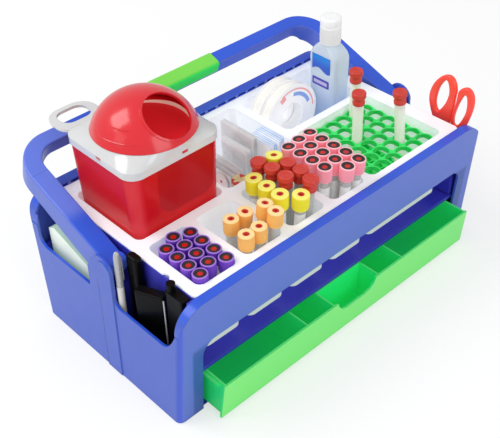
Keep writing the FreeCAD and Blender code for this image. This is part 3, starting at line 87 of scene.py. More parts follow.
# Node trees
class Link:
    """An output in a tree of nodes, used in sums as a number is."""

    def __init__(self, maker, socket):
        self.maker = maker
        self.socket = socket

    def sum(self, operation, first, second=0):
        return self.maker.add("ShaderNodeMath", {"operation": operation}, {0: first, 1: second})

    def __add__(self, other):
        return self.sum("ADD", self, other)

    def __sub__(self, other):
        return self.sum("SUBTRACT", self, other)

    def __rsub__(self, other):
        return self.sum("SUBTRACT", other, self)

    def __mul__(self, other):
        return self.sum("MULTIPLY", self, other)

    def __truediv__(self, other):
        return self.sum("DIVIDE", self, other)

    def __gt__(self, other):
        return self.sum("GREATER_THAN", self, other)

    def __lt__(self, other):
        return self.sum("LESS_THAN", self, other)

    def __abs__(self):
        return self.sum("ABSOLUTE", self)

    def at_least(self, other):
        return self.sum("MAXIMUM", self, other)

    def root(self):
        return self.sum("SQRT", self)

    def cosine(self):
        return self.sum("COSINE", self)

    __radd__ = __add__
    __rmul__ = __mul__


class Maker:
    """Adds nodes to a tree: settings first, then inputs, which are values, links or lists of links."""

    def start(self, tree):
        self.tree = tree
        self.tree.nodes.clear()

    def add(self, kind, settings=None, inputs=None, output=0):
        node = self.tree.nodes.new(kind)
        for name, value in (settings or {}).items():
            setattr(node, name, value)
        for name, value in (inputs or {}).items():
            socket = node.inputs[name]
            if isinstance(value, (Link, list)):
                for link in value if isinstance(value, list) else [value]:
                    self.tree.links.new(link.socket, socket)
            elif socket.type == "RGBA" and len(value) == 3:
                socket.default_value = (*value, 1)
            else:
                socket.default_value = value
        return Link(self, node.outputs[output]) if len(node.outputs) else None

    def axes(self, vector):
        split = self.add("ShaderNodeSeparateXYZ", inputs={0: vector})
        return [Link(self, split.socket.node.outputs[number]) for number in range(3)]

    def move(self, vector, offset):
        return self.add("ShaderNodeVectorMath", {"operation": "ADD"}, {0: vector, 1: offset})

    def stretch(self, vector, share):
        return self.add("ShaderNodeVectorMath", {"operation": "MULTIPLY"}, {0: vector, 1: share})


class Finish(Maker):
    """A material made of nodes, with one main shader."""

    def __init__(self, name):
        self.material = bpy.data.materials.new(name)
        self.material.use_nodes = True
        self.start(self.material.node_tree)

    def place(self, output="Object"):
        return self.add("ShaderNodeTexCoord", output=output)

    def mark(self, name):
        """A number kept on the piece's own points."""
        return self.add("ShaderNodeAttribute", {"attribute_name": name}, output="Fac")

    def noise(self, scale, detail=2, rough=0.5, stretch=(1, 1, 1)):
        return self.add("ShaderNodeTexNoise", inputs={
            "Vector": self.stretch(self.place(), stretch), "Scale": scale, "Detail": detail,
            "Roughness": rough})

    def blend(self, factor, first, second):
        """Colour between two colours."""
        return self.add("ShaderNodeMix", {"data_type": "RGBA"}, {0: factor, 6: first, 7: second}, output=2)

    def range(self, value, low, high, to_low=0, to_high=1):
        return self.add("ShaderNodeMapRange", {"interpolation_type": "SMOOTHSTEP"},
                        {"Value": value, 1: low, 2: high, 3: to_low, 4: to_high})

    def bump(self, height, distance, strength, normal=None):
        inputs = {"Height": height, "Distance": distance, "Strength": strength}
        if normal:
            inputs["Normal"] = normal
        return self.add("ShaderNodeBump", inputs=inputs)

    def soft_edges(self, radius):
        return self.add("ShaderNodeBevel", {"samples": 6}, {"Radius": radius})

    def shade(self, **inputs):
        """Ends the finish with a Principled shader; underscores in names stand for spaces."""
        shader = self.add("ShaderNodeBsdfPrincipled",
                          inputs={name.replace("_", " "): value for name, value in inputs.items()})
        self.add("ShaderNodeOutputMaterial", inputs={"Surface": shader})
        return self.material


class Build(Maker):
    """A Geometry Nodes tree with named sizes, which turns into plain mesh pieces."""

    SOCKETS = {float: "Float", int: "Int", Vector: "Vector", bpy.types.Object: "Object",
               bpy.types.Material: "Material"}

    def __init__(self, name, **sizes):
        group = bpy.data.node_groups.new(name, "GeometryNodeTree")
        group.is_modifier = True
        for size, kind in {"Geometry": None, **sizes, "Finish": bpy.types.Material}.items():
            socket = "Geometry" if kind is None else self.SOCKETS[kind]
            group.interface.new_socket(size, in_out="INPUT", socket_type="NodeSocket" + socket)
        group.interface.new_socket("Geometry", in_out="OUTPUT", socket_type="NodeSocketGeometry")
        self.start(group)
        given = self.tree.nodes.new("NodeGroupInput")
        self.given = {socket.name: Link(self, socket) for socket in given.outputs if socket.name}

    def end(self, geometry):
        plain = self.add("GeometryNodeRealizeInstances", inputs={"Geometry": geometry})
        coated = self.add("GeometryNodeSetMaterial",
                          inputs={"Geometry": plain, "Material": self.given["Finish"]})
        self.add("NodeGroupOutput", inputs={0: coated})

    def make(self, name, finish, mesh=None, **sizes):
        """Plain mesh piece from the tree with these sizes."""
        holder = bpy.data.objects.new(name + "_holder", mesh or bpy.data.meshes.new(name + "_holder"))
        bpy.context.scene.collection.objects.link(holder)
        modifier = holder.modifiers.new("build", "NODES")
        modifier.node_group = self.tree
        values = {"Finish": finish, **sizes}
        for item in self.tree.interface.items_tree:
            if item.in_out == "INPUT" and item.name in values:
                modifier[item.identifier] = values[item.name]
        graph = bpy.context.evaluated_depsgraph_get()
        result = bpy.data.meshes.new_from_object(holder.evaluated_get(graph))
        bpy.data.objects.remove(holder)
        return new_piece(name, result)


# Finishes
def srgb(red, green, blue):
    """Colour from 0 to 255 levels as the screen shows them."""
    def straight(level):
        level /= 255
        return level / 12.92 if level <= 0.04045 else ((level + 0.055) / 1.055) ** 2.4

    return (straight(red), straight(green), straight(blue))


def darker(colour, share):
    return tuple(part * share for part in colour)


def moulded(name, colour, side=None, rough=0.3, grain=0.03, edge=0.0009, coat=0.15, painted_side_share=0.55,
            paint=None, shine=0.35, coat_rough=0.12, **more):
    """Moulded plastic: faint cloudiness, fine grain, softened edges, and a side colour on steep faces that is
    painted light.
    """
    finish = Finish(name)
    cloud = finish.noise(22, 3)
    tone = finish.blend(finish.range(cloud, 0.3, 0.7), darker(colour, 0.97), colour)
    # The side colour is painted light: steep faces get a second copy of the plastic's colour, set by how
    # light falls on them.
    if side:
        upward = finish.axes(finish.place("Normal"))[2]
        tone = finish.blend(finish.range(abs(upward), 0.25, 0.85, painted_side_share, 0), tone, side)
    if paint:
        tone = paint(finish, tone)
    fine = finish.noise(2600, 2, 0.6)
    normal = finish.bump(fine, 0.0001, grain, finish.soft_edges(edge))
    smear = finish.range(finish.noise(60, 3), 0.3, 0.7, rough - 0.02, rough + 0.03)
    return finish.shade(Base_Color=tone, Roughness=smear, Normal=normal, Coat_Weight=coat,
                        Coat_Roughness=coat_rough, Specular_IOR_Level=shine, **more)


def painted_glow(red, green, blue, strength):
    """Painted glow: faint light given off by a plastic that is no lamp, standing in for light that falls on
    it.
    """
    return {"Emission_Color": (*srgb(red, green, blue), 1), "Emission_Strength": strength}


def rubber(name, colour, rough=0.55, edge=0.0006, paint=None):
    finish = Finish(name)
    cloud = finish.noise(90, 3)
    tone = finish.blend(cloud, darker(colour, 0.86), colour)
    if paint:
        tone = paint(finish, tone)
    fine = finish.noise(3500, 2, 0.7)
    return finish.shade(Base_Color=tone, Roughness=finish.range(cloud, 0.3, 0.7, rough - 0.06, rough + 0.06),
                        Normal=finish.bump(fine, 0.0001, 0.25, finish.soft_edges(edge)))


def metal(name, colour, rough=0.25, stretch=(1, 1, 12)):
    """Drawn or ground metal with fine lines along one way."""
    finish = Finish(name)
    lines = finish.noise(700, 3, 0.6, stretch)
    return finish.shade(Base_Color=finish.blend(lines, darker(colour, 0.85), colour), Metallic=1.0,
                        Roughness=finish.range(lines, 0.3, 0.7, rough - 0.06, rough + 0.1),
                        Normal=finish.bump(lines, 0.0001, 0.1, finish.soft_edges(0.0003)))


def thin_clear(name, colour, share, rough=0.06, lift=0.0):
    """Clear thin wall or film that lets part of what is behind it show."""
    finish = Finish(name)
    film = finish.noise(45, 2)
    tone = finish.blend(film, darker(colour, 0.9), colour)
    smear = finish.range(film, 0.3, 0.7, rough, rough + 0.05)
    # Emission of strength lift is painted glow that brightens the film.
    return finish.shade(Base_Color=tone, Alpha=share, Roughness=smear, Coat_Weight=0.6, Coat_Roughness=0.05,
                        Emission_Color=tone, Emission_Strength=lift)


def gel_filled(name, colour):
    """Clear gel in a thin wall, bluer towards its foot."""
    foot_height = 0.1
    clear_height = 0.19
    finish = Finish(name)
    film = finish.noise(30, 2)
    height = finish.axes(finish.place())[2]
    depth = finish.range(height, foot_height, clear_height, 0.75, 0)
    tone = finish.blend(depth, finish.blend(film, darker(colour, 0.92), colour), srgb(126, 166, 222))
    # The faint emission is painted glow.
    return finish.shade(Base_Color=tone, Emission_Color=tone, Emission_Strength=0.06,
                        Roughness=finish.range(film, 0.3, 0.7, 0.04, 0.09), Transmission_Weight=0.35,
                        IOR=1.36, Normal=finish.bump(film, 0.004, 0.25))


def paper(name, colour, rough=0.55, crinkle=0.3, scale=70, edge_colour=None, coat=0.0, paint=None,
          lift=0.04):
    """Paper or film with shallow creases; the piece's own mark gives its crimped edges."""
    finish = Finish(name)
    folds = finish.noise(scale, 4, 0.6)
    tone = finish.blend(finish.range(folds, 0.3, 0.7), darker(colour, 0.9), colour)
    if edge_colour:
        tone = finish.blend(finish.mark("trim"), tone, edge_colour)
    if paint:
        tone = paint(finish, tone)
    # Emission of strength lift is painted glow that brightens the paper.
    return finish.shade(Base_Color=tone, Roughness=finish.range(folds, 0.3, 0.7, rough - 0.05, rough + 0.08),
                        Normal=finish.bump(folds, 0.0012, crinkle), Coat_Weight=coat, Emission_Color=tone,
                        Emission_Strength=lift)


def two_tone(trim):
    """Paints the marked part of a piece in a second colour."""
    return lambda finish, tone: finish.blend(finish.mark("trim"), tone, trim)


def rounded_area(finish, across, up, middle, half, radius):
    """1 inside a rounded rectangle, 0 outside, with a soft border."""
    border = 0.0012
    over_x = (abs(across - middle[0]) - (half[0] - radius)).at_least(0)
    over_z = (abs(up - middle[1]) - (half[1] - radius)).at_least(0)
    reach = (over_x * over_x + over_z * over_z).root()
    return finish.range(reach, radius - border, radius + border, 1, 0)


def red_panel_and_highlight(finish, tone):
    """Deeper red pane with a rounded foot on the container's front, and a painted highlight that makes the
    front left corner paler.
    """
    pane_middle = (-0.1155, 0.215)
    pane_half = (0.0365, 0.052)
    pane_corner = 0.02
    x, y, z = finish.axes(finish.place())
    pane = rounded_area(finish, x, z, pane_middle, pane_half, pane_corner) * (y < -0.008)
    side, ahead, upward = finish.axes(finish.place("Normal"))
    # Painted highlight on the rounded front left corner.
    corner = abs(side) * abs(ahead) * 1.1 * (x < -0.12) * (y < 0)
    return finish.blend(corner, finish.blend(pane * 0.8, tone, srgb(176, 12, 24)), srgb(236, 74, 86))


def lid_shade(finish, tone):
    """Painted shade: greyer right side of the container's lid."""
    side = finish.axes(finish.place("Normal"))[0]
    return finish.blend(finish.range(side, 0.1, 0.5, 0, 0.9), tone, srgb(188, 188, 188))


def painted_shade_well_fronts(finish, tone):
    """Painted shade: greyer outsides of the wells that show under the arch."""
    well_front = -0.1
    rim_foot = 0.149
    x, y, z = finish.axes(finish.place())
    ahead = finish.axes(finish.place("Normal"))[1]
    return finish.blend((y < well_front) * (ahead < -0.5) * (z < rim_foot), tone, srgb(184, 190, 184))


def painted_light_drawer_front(finish, tone):
    """Painted light: paler green on the outside of the drawer's front, and a painted highlight along its
    rims.
    """
    front_inside = -0.1335
    rim_foot = 0.0275
    x, y, z = finish.axes(finish.place())
    side, ahead, upward = finish.axes(finish.place("Normal"))
    outside = (ahead < -0.6) * (y < front_inside)
    rims = (upward > 0.8) * (z > rim_foot)
    return finish.blend(outside + rims * (1 - outside) * 0.45, tone, srgb(128, 226, 112))


def arm_seam_and_sheen(finish, tone):
    """Painted sheen makes a paler rear stretch on the left arm's top, with a thin mould seam near the
    corners.
    """
    pale_start = 0.04
    pale_full = 0.058
    seam_place = 0.106
    seam_half = 0.0003
    x, y, z = finish.axes(finish.place())
    upward = finish.axes(finish.place("Normal"))[2]
    # Painted sheen on the rear of the arm's top.
    pale = finish.range(y, pale_start, pale_full, 0, 0.42) * (x < -0.15) * (upward > 0.5)
    seam = (abs(y - seam_place) < seam_half) * (abs(x) > 0.19)
    return finish.blend(seam * 0.4, finish.blend(pale, tone, srgb(140, 156, 238)), srgb(40, 70, 170))


def case_sides_painted_light(finish, tone):
    """Painted light on the case: painted shade deepens the end walls, a thin painted shadow line runs along
    the strip's rear edge, a painted dark reflection lies beside the arch, and a painted highlight makes the
    front corners clear blue.
    """
    strip_edge = 0.0008
    shadow_line_half = 0.0006
    shadow_line_top = 0.121
    wall_inside = 0.2
    arch_side = 0.19
    dark_side = 0.208
    dark_top = 0.1
    x, y, z = finish.axes(finish.place())
    side, ahead, upward = finish.axes(finish.place("Normal"))
    end_wall = abs(side) > 0.8
    # Painted shade that deepens the end walls.
    tone = finish.blend(end_wall * 0.75, tone, srgb(64, 94, 200))
    # Painted shadow line along the proud strip's rear edge, where it steps down to the end wall.
    groove = (abs(y - strip_edge) < shadow_line_half) * end_wall * (abs(x) > wall_inside) * (z < shadow_line_top)
    tone = finish.blend(groove * 0.7, tone, srgb(32, 40, 128))
    # Painted highlight of clear blue down the rounded front corners.
    corner = finish.range(abs(side) * abs(ahead), 0.3, 0.48, 0, 0.6) * (y < 0)
    tone = finish.blend(corner, tone, srgb(52, 86, 222))
    # Painted dark reflection of the drawer on the column beside the arch.
    column = finish.range(abs(x), dark_side, dark_side + 0.0035, 1, 0) * (abs(x) > arch_side)
    column = column * (ahead < -0.8) * finish.range(z, dark_top - 0.008, dark_top, 0.6, 0)
    return finish.blend(column, tone, srgb(24, 66, 146))


def red_patches(finish, tone):
    """Torn red patches of the mottled stopper."""
    patches = finish.range(finish.noise(150, 1, 0.4, (1, 1, 0.8)), 0.5, 0.54)
    return finish.blend(patches, tone, srgb(214, 58, 46))


def thin_stripes(finish, tone):
    """Pale blue lines across packed wrappers, with white between them."""
    spacing = 0.00326
    lean = 40
    x, y, z = finish.axes(finish.place())
    lines = finish.range((x * (2 * math.pi / spacing) + z * lean).cosine(), 0.1, 0.8, 0, 0.8)
    return finish.blend(lines, tone, srgb(158, 196, 238))


def red_dot(finish, tone):
    """Small red dot on the round bandage's pad."""
    dot_radius = 0.0018
    x, y, z = finish.axes(finish.place())
    across = y - 0.0225
    up = z - 0.1315
    return finish.blend((across * across + up * up).root() < dot_radius, tone, srgb(226, 44, 52))


def packet_edges(finish, tone):
    """Greener top edge and foot of the pale green packet."""
    foot = 0.086
    foot_end = 0.104
    z = finish.axes(finish.place())[2]
    upward = finish.axes(finish.place("Normal"))[2]
    shade = (upward > 0.5) * 0.55 + finish.range(z, foot, foot_end, 0.6, 0)
    return finish.blend(shade, tone, srgb(160, 216, 168))


def patch_band(finish, tone):
    """Pale band across the bottle's plain patch."""
    band_middle = (0.053, 0.163)
    band_half = (0.0105, 0.0022)
    x, y, z = finish.axes(finish.place())
    band = rounded_area(finish, y, z, band_middle, band_half, 0.001)
    return finish.blend(band * 0.75, tone, srgb(214, 214, 240))


def sky_top(finish, tone):
    """Brighter blue towards the top of the bottle's label."""
    height = finish.axes(finish.place())[2]
    return finish.blend(finish.range(height, 0.184, 0.197, 0, 1), tone, srgb(24, 136, 232))


def spool_face(middle, arcs):
    """Plain bands printed round a spool's face, each with its radii, middle angle, half angle and colour."""
    face_depth = -0.0064

    def paint(finish, tone):
        x, y, z = finish.axes(finish.move(finish.place(), (-middle[0], -middle[1], -middle[2])))
        reach = (x * x + z * z).root()
        for low, high, angle, half, colour in arcs:
            way = (x * math.cos(math.radians(angle)) + z * math.sin(math.radians(angle))) / reach
            band = (reach > low) * (reach < high) * (way > math.cos(math.radians(half))) * (y < face_depth)
            tone = finish.blend(band, tone, colour)
        return finish.blend(finish.mark("trim"), tone, srgb(240, 238, 232))

    return paint


BLUE = srgb(44, 90, 220)
# Paler blue for steep faces: painted sheen.
BLUE_SIDE_SHEEN = srgb(98, 121, 206)
# The glow in these finishes is painted light on parts that are no lamps, and the second colours of the grip
# and rack greens are painted light on their steep faces.
FINISHES = {
    "blue_plastic": moulded("blue_plastic", BLUE, BLUE_SIDE_SHEEN, edge=0.0013, painted_side_share=0.8, paint=case_sides_painted_light),
    "dark_blue_plastic": moulded("dark_blue_plastic", srgb(56, 56, 186), rough=0.42, coat=0.1),
    "rubber_feet": rubber("rubber_feet", srgb(40, 40, 42)),
    "runner_plastic": moulded("runner_plastic", srgb(50, 52, 140), rough=0.4),
    "drawer_green": moulded("drawer_green", srgb(34, 222, 112), paint=painted_light_drawer_front,
                            **painted_glow(36, 208, 112, 0.21)),
    "grip_rubber": moulded("grip_rubber", srgb(126, 224, 82), srgb(42, 240, 92), rough=0.5, painted_side_share=1.0),
    "steel": metal("steel", srgb(205, 207, 210)),
    "white_insert": moulded("white_insert", srgb(236, 238, 242), rough=0.32, paint=painted_shade_well_fronts,
                            **painted_glow(246, 250, 255, 0.24)),
    "red_container": moulded("red_container", srgb(208, 22, 28), rough=0.2, grain=0.02, coat=0.04,
                             paint=red_panel_and_highlight, shine=0.12, **painted_glow(208, 22, 28, 0.03)),
    "white_lid": moulded("white_lid", srgb(218, 219, 220), rough=0.14, grain=0.02, coat=0.6, paint=lid_shade),
    "red_dome": moulded("red_dome", srgb(222, 32, 44), rough=0.35, grain=0.03, coat=0.9, coat_rough=0.16,
                        shine=0.15, **painted_glow(222, 32, 44, 0.03)),
    "rack_green": moulded("rack_green", srgb(40, 236, 104), srgb(18, 198, 82), rough=0.3, edge=0.0005,
                          painted_side_share=1.0, **painted_glow(26, 226, 92, 0.05)),
    "purple_cap": moulded("purple_cap", srgb(128, 74, 208), rough=0.42, coat=0.05, edge=0.0003,
                          paint=two_tone(srgb(178, 132, 232))),
    "black_rubber": rubber("black_rubber", srgb(34, 31, 34)),
    "red_rubber": rubber("red_rubber", srgb(216, 60, 46), 0.38),
    "orange_cap": moulded("orange_cap", srgb(254, 192, 100), rough=0.42, coat=0.05, edge=0.0003,
                          paint=two_tone(srgb(255, 224, 160)), **painted_glow(254, 192, 100, 0.06)),
    "yellow_cap": moulded("yellow_cap", srgb(255, 246, 48), rough=0.42, coat=0.05, edge=0.0003,
                          paint=two_tone(srgb(252, 246, 120))),
    "mottled_rubber": rubber("mottled_rubber", srgb(246, 230, 176), paint=red_patches),
    "pink_cap": moulded("pink_cap", srgb(253, 164, 178), rough=0.42, coat=0.05, edge=0.0003,
                        paint=two_tone(srgb(255, 210, 218)), **painted_glow(253, 164, 178, 0.1)),
    "tube_glass": thin_clear("tube_glass", srgb(214, 216, 212), 0.5, lift=0.04),
    "gel": gel_filled("gel", srgb(226, 238, 248)),
    "label_blue": moulded("label_blue", srgb(44, 96, 212), rough=0.35, paint=sky_top),
    "white_plastic": moulded("white_plastic", srgb(244, 245, 247), rough=0.25, **painted_glow(255, 255, 255, 0.06)),
    "tape_white": moulded("tape_white", srgb(246, 246, 247), rough=0.4, paint=two_tone(srgb(240, 238, 232))),
    "paper_stripe": paper("paper_stripe", srgb(250, 251, 253), paint=thin_stripes, lift=0.12),
    "foil_grey": paper("foil_grey", srgb(222, 224, 226), 0.3, 0.7, edge_colour=srgb(238, 240, 242), coat=0.3),
    "pouch_clear": paper("pouch_clear", srgb(216, 221, 224), 0.2, 0.8, 90, srgb(240, 242, 243), 0.5),
    "bandage_beige": rubber("bandage_beige", srgb(250, 232, 228), 0.6, paint=red_dot),
    "packet_green": paper("packet_green", srgb(234, 244, 232), scale=30, crinkle=0.15, lift=0.2,
                          paint=packet_edges),
    "pen_cream": moulded("pen_cream", srgb(236, 234, 226), rough=0.2, edge=0.0004),
    "pen_silver": moulded("pen_silver", srgb(186, 188, 188), rough=0.25, coat=0.4, edge=0.0004, Metallic=0.3),
    "black_plastic": moulded("black_plastic", srgb(7, 7, 9), rough=0.45, coat=0.08, coat_rough=0.03,
                             shine=0.08),
    "screen_grey": moulded("screen_grey", srgb(100, 101, 103), rough=0.45, coat=0.0, shine=0.1),
    "scissor_red": moulded("scissor_red", srgb(255, 78, 64), rough=0.3, **painted_glow(255, 78, 64, 0.1)),
}
SLOT_OF = {part["node"]: part["material_slot"] for part in frame["record"]["subparts"]}
for node, thing in NODES.items():
    thing.data.materials.clear()
    thing.data.materials.append(FINISHES[SLOT_OF[node]])
# The handle's second blue is painted sheen on its sides, and the shutter's glow and the rack glass's lift are
# painted light.
OWN_FINISHES = {
    "handle_bail": moulded("handle_blue", BLUE, srgb(94, 116, 208), edge=0.0013, painted_side_share=0.8,
                           paint=arm_seam_and_sheen),
    "sharps_shutter": moulded("shutter_red", srgb(214, 34, 42), rough=0.5, coat=0.05, shine=0.1,
                              **painted_glow(224, 38, 46, 0.26)),
    "rack_tubes": thin_clear("rack_glass", srgb(240, 244, 232), 0.6, lift=0.16),
}
centre_red = rubber("centre_red", srgb(206, 26, 22), 0.3, 0.0003)
for family in ("purple", "orange", "yellow", "pink"):
    OWN_FINISHES[family + "_centres"] = centre_red
for node, finish in OWN_FINISHES.items():
    NODES[node].data.materials[0] = finish


# Pieces
MM = 0.001


def clamped(value, low, high):
    return min(max(value, low), high)


def new_piece(name, mesh):
    mesh.name = name
    piece = bpy.data.objects.new(name, mesh)
    bpy.context.scene.collection.objects.link(piece)
    return piece


def from_points(name, points, faces):
    mesh = bpy.data.meshes.new(name)
    mesh.from_pydata(points, [], faces)
    return mesh


def close_up(mesh, angle=40):
    """Merges the mesh's doubles, turns its faces outward and smooths it between sharp edges."""
    shell = bmesh.new()
    shell.from_mesh(mesh)
    bmesh.ops.remove_doubles(shell, verts=shell.verts, dist=1e-6)
    bmesh.ops.recalc_face_normals(shell, faces=shell.faces)
    shell.to_mesh(mesh)
    shell.free()
    mesh.shade_smooth()
    mesh.set_sharp_from_angle(angle=math.radians(angle))


def settle(piece, body, slot, *nodes, angle=40, finish=None):
    """Closes a new piece, gives it its finish and body, and lets it stand for its CAD nodes."""
    close_up(piece.data, angle)
    piece.data.materials.clear()
    piece.data.materials.append(finish or FINISHES[slot])
    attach(piece, body)
    if nodes:
        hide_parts(*nodes)
    return piece


def quads(rows, count, rows_close, row_closes, start=0):
    """Faces between neighbouring rows of points; the rows, and each row itself, may close into a ring."""
    faces = []
    for row in range(rows if rows_close else rows - 1):
        below = start + row * count
        above = start + (row + 1) % rows * count
        for side in range(count if row_closes else count - 1):
            beside = (side + 1) % count
            faces.append((below + side, below + beside, above + beside, above + side))
    return faces


def mark_points(mesh, values):
    marks = mesh.attributes.new("trim", "FLOAT", "POINT")
    marks.data.foreach_set("value", [float(value) for value in values])


def turned(name, profile, sides=48, closed=False):
    """Mesh turned round Z from steps in millimetres: radius, height and, where it isn't 0, a mark.

    A closed profile joins its last step to its first."""
    points = []
    marks = []
    for radius, height, *mark in profile:
        for side in range(sides):
            angle = 2 * math.pi * side / sides
            points.append((radius * MM * math.cos(angle), radius * MM * math.sin(angle), height * MM))
            marks.append(mark[0] if mark else 0)
    mesh = from_points(name, points, quads(len(profile), sides, closed, True))
    mark_points(mesh, marks)
    return mesh


def loose_parts(node):
    """Corner points of each separate solid in a CAD node."""
    mesh = NODES[node].data
    corners = np.empty(len(mesh.vertices) * 3)
    mesh.vertices.foreach_get("co", corners)
    corners = corners.reshape(-1, 3)
    places = {}
    name_of = [places.setdefault(tuple(place), len(places)) for place in np.round(corners, 6)]
    leader = list(range(len(places)))

    def first(item):
        while leader[item] != item:
            leader[item] = leader[leader[item]]
            item = leader[item]
        return item

    for edge in mesh.edges:
        leader[first(name_of[edge.vertices[0]])] = first(name_of[edge.vertices[1]])
    groups = {}
    for number, place in enumerate(name_of):
        groups.setdefault(first(place), []).append(number)
    return [corners[group] for group in groups.values()]


def tops_and_axes(node):
    """Top point and upward axis of each upright turned solid in a CAD node."""
    places = []
    for part in loose_parts(node):
        middle = part.mean(0)
        spread, ways = np.linalg.svd(part - middle, full_matrices=False)[1:]
        axis = ways[0] if spread[0] - spread[1] > spread[1] - spread[2] else ways[2]
        axis = axis * np.sign(axis[2])
        places.append((middle + axis * ((part - middle) @ axis).max(), axis))
    return places


def point_mesh(name, places):
    """Loose points that carry their axes."""
    mesh = from_points(name, [tuple(top) for top, axis in places], [])
    mesh.attributes.new("axis", "FLOAT_VECTOR", "POINT").data.foreach_set(
        "vector", [part for top, axis in places for part in axis])
    return mesh


def plan_rounded(half_x, half_y, radius, steps=6):
    """Corner-rounded rectangle as (x, y) points."""
    points = []
    for corner, (sign_x, sign_y) in enumerate(((1, 1), (-1, 1), (-1, -1), (1, -1))):
        for step in range(steps + 1):
            angle = math.pi / 2 * (corner + step / steps)
            points.append((sign_x * (half_x - radius) + radius * math.cos(angle),
                           sign_y * (half_y - radius) + radius * math.sin(angle)))
    return points


def lofted(name, rings):
    """Closed mesh through rings of equal point counts, in millimetres, with flat ends."""
    count = len(rings[0])
    points = [tuple(part * MM for part in point) for ring in rings for point in ring]
    ends = [tuple(reversed(range(count))), tuple(range(len(points) - count, len(points)))]
    return from_points(name, points, ends + quads(len(rings), count, False, True))


def join_up(name, meshes, body, slot, *nodes, angle=40, finish=None):
    """One piece from several closed meshes."""
    whole = bmesh.new()
    for mesh in meshes:
        whole.from_mesh(mesh)
        bpy.data.meshes.remove(mesh)
    joined = bpy.data.meshes.new(name)
    whole.to_mesh(joined)
    whole.free()
    return settle(new_piece(name, joined), body, slot, *nodes, angle=angle, finish=finish)


def pill(name, low, high, axis, radius, soft=0.15):
    """Rounded-cornered plate between two corners in millimetres, flat to one axis, with eased edges."""
    across, up = [number for number in range(3) if number != axis]
    half = [(high[number] - low[number]) / 2 for number in range(3)]
    middle = [(high[number] + low[number]) / 2 for number in range(3)]
    rings = []
    for share, inset in ((-1, soft), (-0.7, 0), (0.7, 0), (1, soft)):
        ring = []
        for first, second in plan_rounded(half[across] - inset, half[up] - inset, radius - inset):
            point = [0.0, 0.0, 0.0]
            point[across] = middle[across] + first
            point[up] = middle[up] + second
            point[axis] = middle[axis] + share * half[axis]
            ring.append(tuple(point))
        rings.append(ring)
    return lofted(name, rings)


# Turned pieces set on points
def set_on_points():
    """Tree that stands a shape, with a ring of ribs round it, on every point along its axis."""
    build = Build("ribbed_shapes_on_points", **{
        "Shape": bpy.types.Object, "Rib count": int, "Ring radius": float, "Rib radius": float,
        "Rib length": float, "Rib drop": float})
    given = build.given
    shape = build.add("GeometryNodeObjectInfo", inputs={"Object": given["Shape"]}, output="Geometry")
    ring = build.add("GeometryNodeMeshCircle",
                     inputs={"Vertices": given["Rib count"], "Radius": given["Ring radius"]})
    rib = build.add("GeometryNodeMeshCylinder", inputs={
        "Vertices": 6, "Radius": given["Rib radius"], "Depth": given["Rib length"]}, output="Mesh")
    ribs = build.add("GeometryNodeInstanceOnPoints", inputs={"Points": ring, "Instance": rib})
    drop = build.add("ShaderNodeCombineXYZ", inputs={2: given["Rib drop"] * -1})
    lowered = build.add("GeometryNodeTransform", inputs={"Geometry": ribs, "Translation": drop})
    ribbed = build.add("GeometryNodeJoinGeometry", inputs={0: [shape, lowered]})
    axis = build.add("GeometryNodeInputNamedAttribute", {"data_type": "FLOAT_VECTOR"}, {"Name": "axis"})
    turn = build.add("FunctionNodeAlignRotationToVector", {"axis": "Z"}, {"Vector": axis})
    build.end(build.add("GeometryNodeInstanceOnPoints", inputs={
        "Points": given["Geometry"], "Instance": ribbed, "Rotation": turn}))
    return build


RIBBED = set_on_points()


def set_shapes(name, shape, places, finish, ribs=3, ring=1.0, rib=0.01, length=1.0, drop=2.0):
    """Copies of a shape on the given places, with ribs round it; sizes in millimetres.

    The tree always makes ribs: those of the default sizes are hair-thin and hidden in the stoppers."""
    pattern = new_piece(name + "_pattern", shape)
    piece = RIBBED.make(name, finish, point_mesh(name + "_points", places), **{
        "Shape": pattern, "Rib count": ribs, "Ring radius": ring * MM, "Rib radius": rib * MM,
        "Rib length": length * MM, "Rib drop": drop * MM})
    bpy.data.objects.remove(pattern)
    return piece


def cap_profile(radius, mouth, throat, bore=6.05):
    """Push-on cap hanging from its top: tapered skirt, rounded pale lip, wide mouth and stepped bore."""
    skin = radius - 0.3
    return [(bore, -17.5), (skin - 0.7, -17.5), (skin - 0.15, -17.2), (skin, -16.4),
            (skin - 0.05, -9), (skin, -1.9), (radius - 0.05, -1.6), (radius, -1.1, 0.4),
            (radius - 0.1, -0.5, 0.8), (radius - 0.4, -0.12, 1), (radius - 0.9, 0, 1),
            ((radius + mouth) / 2, 0, 1), (mouth + 0.4, 0, 1), (mouth + 0.1, -0.15, 1),
            (mouth, -0.5, 0.5), (mouth, -1.75), (throat, -1.75), (throat, -3), (bore, -3.6)]


def make_caps():
    """Ribbed caps: radius, mouth and throat of each kind, and the number and radius of its ribs."""
    rib_length = 13.6
    rib_drop = 9
    for family, body, radius, mouth, throat, ribs, rib in (
            ("purple", "purple_set", 7.9, 6.4, 5.4, 32, 0.42),
            ("orange", "orange_set", 8.2, 3.5, 3.4, 26, 0.5),
            ("yellow", "middle_set", 9.1, 3.5, 3.4, 40, 0.38),
            ("pink", "pink_set", 8.1, 6.7, 5.5, 44, 0.36)):
        node = family + "_caps"
        shape = turned(node, cap_profile(radius, mouth, throat), 48, True)
        finish = FINISHES[family + "_cap"]
        piece = set_shapes(family + "_ribbed_caps", shape, tops_and_axes(node), finish, ribs,
                           radius - rib, rib, rib_length, rib_drop)
        settle(piece, body, family + "_cap", node, angle=35)


def flanged_profile(flange, throat, well):
    """Black stopper in a cap's mouth: plug, narrow throat, flange and a well for its red centre."""
    plug = 5.05
    return [(0, -13), (plug - 0.05, -13), (plug, -12.6), (plug, -5), (throat, -4.9),
            (throat, -1.7), (flange, -1.7), (flange, -0.95), (flange - 0.25, -0.65),
            (flange - 0.9, -0.5), (well + 0.9, -0.6), (well + 0.2, -0.8), (well, -1.1),
            (well, -2.2), (0, -2.2)]


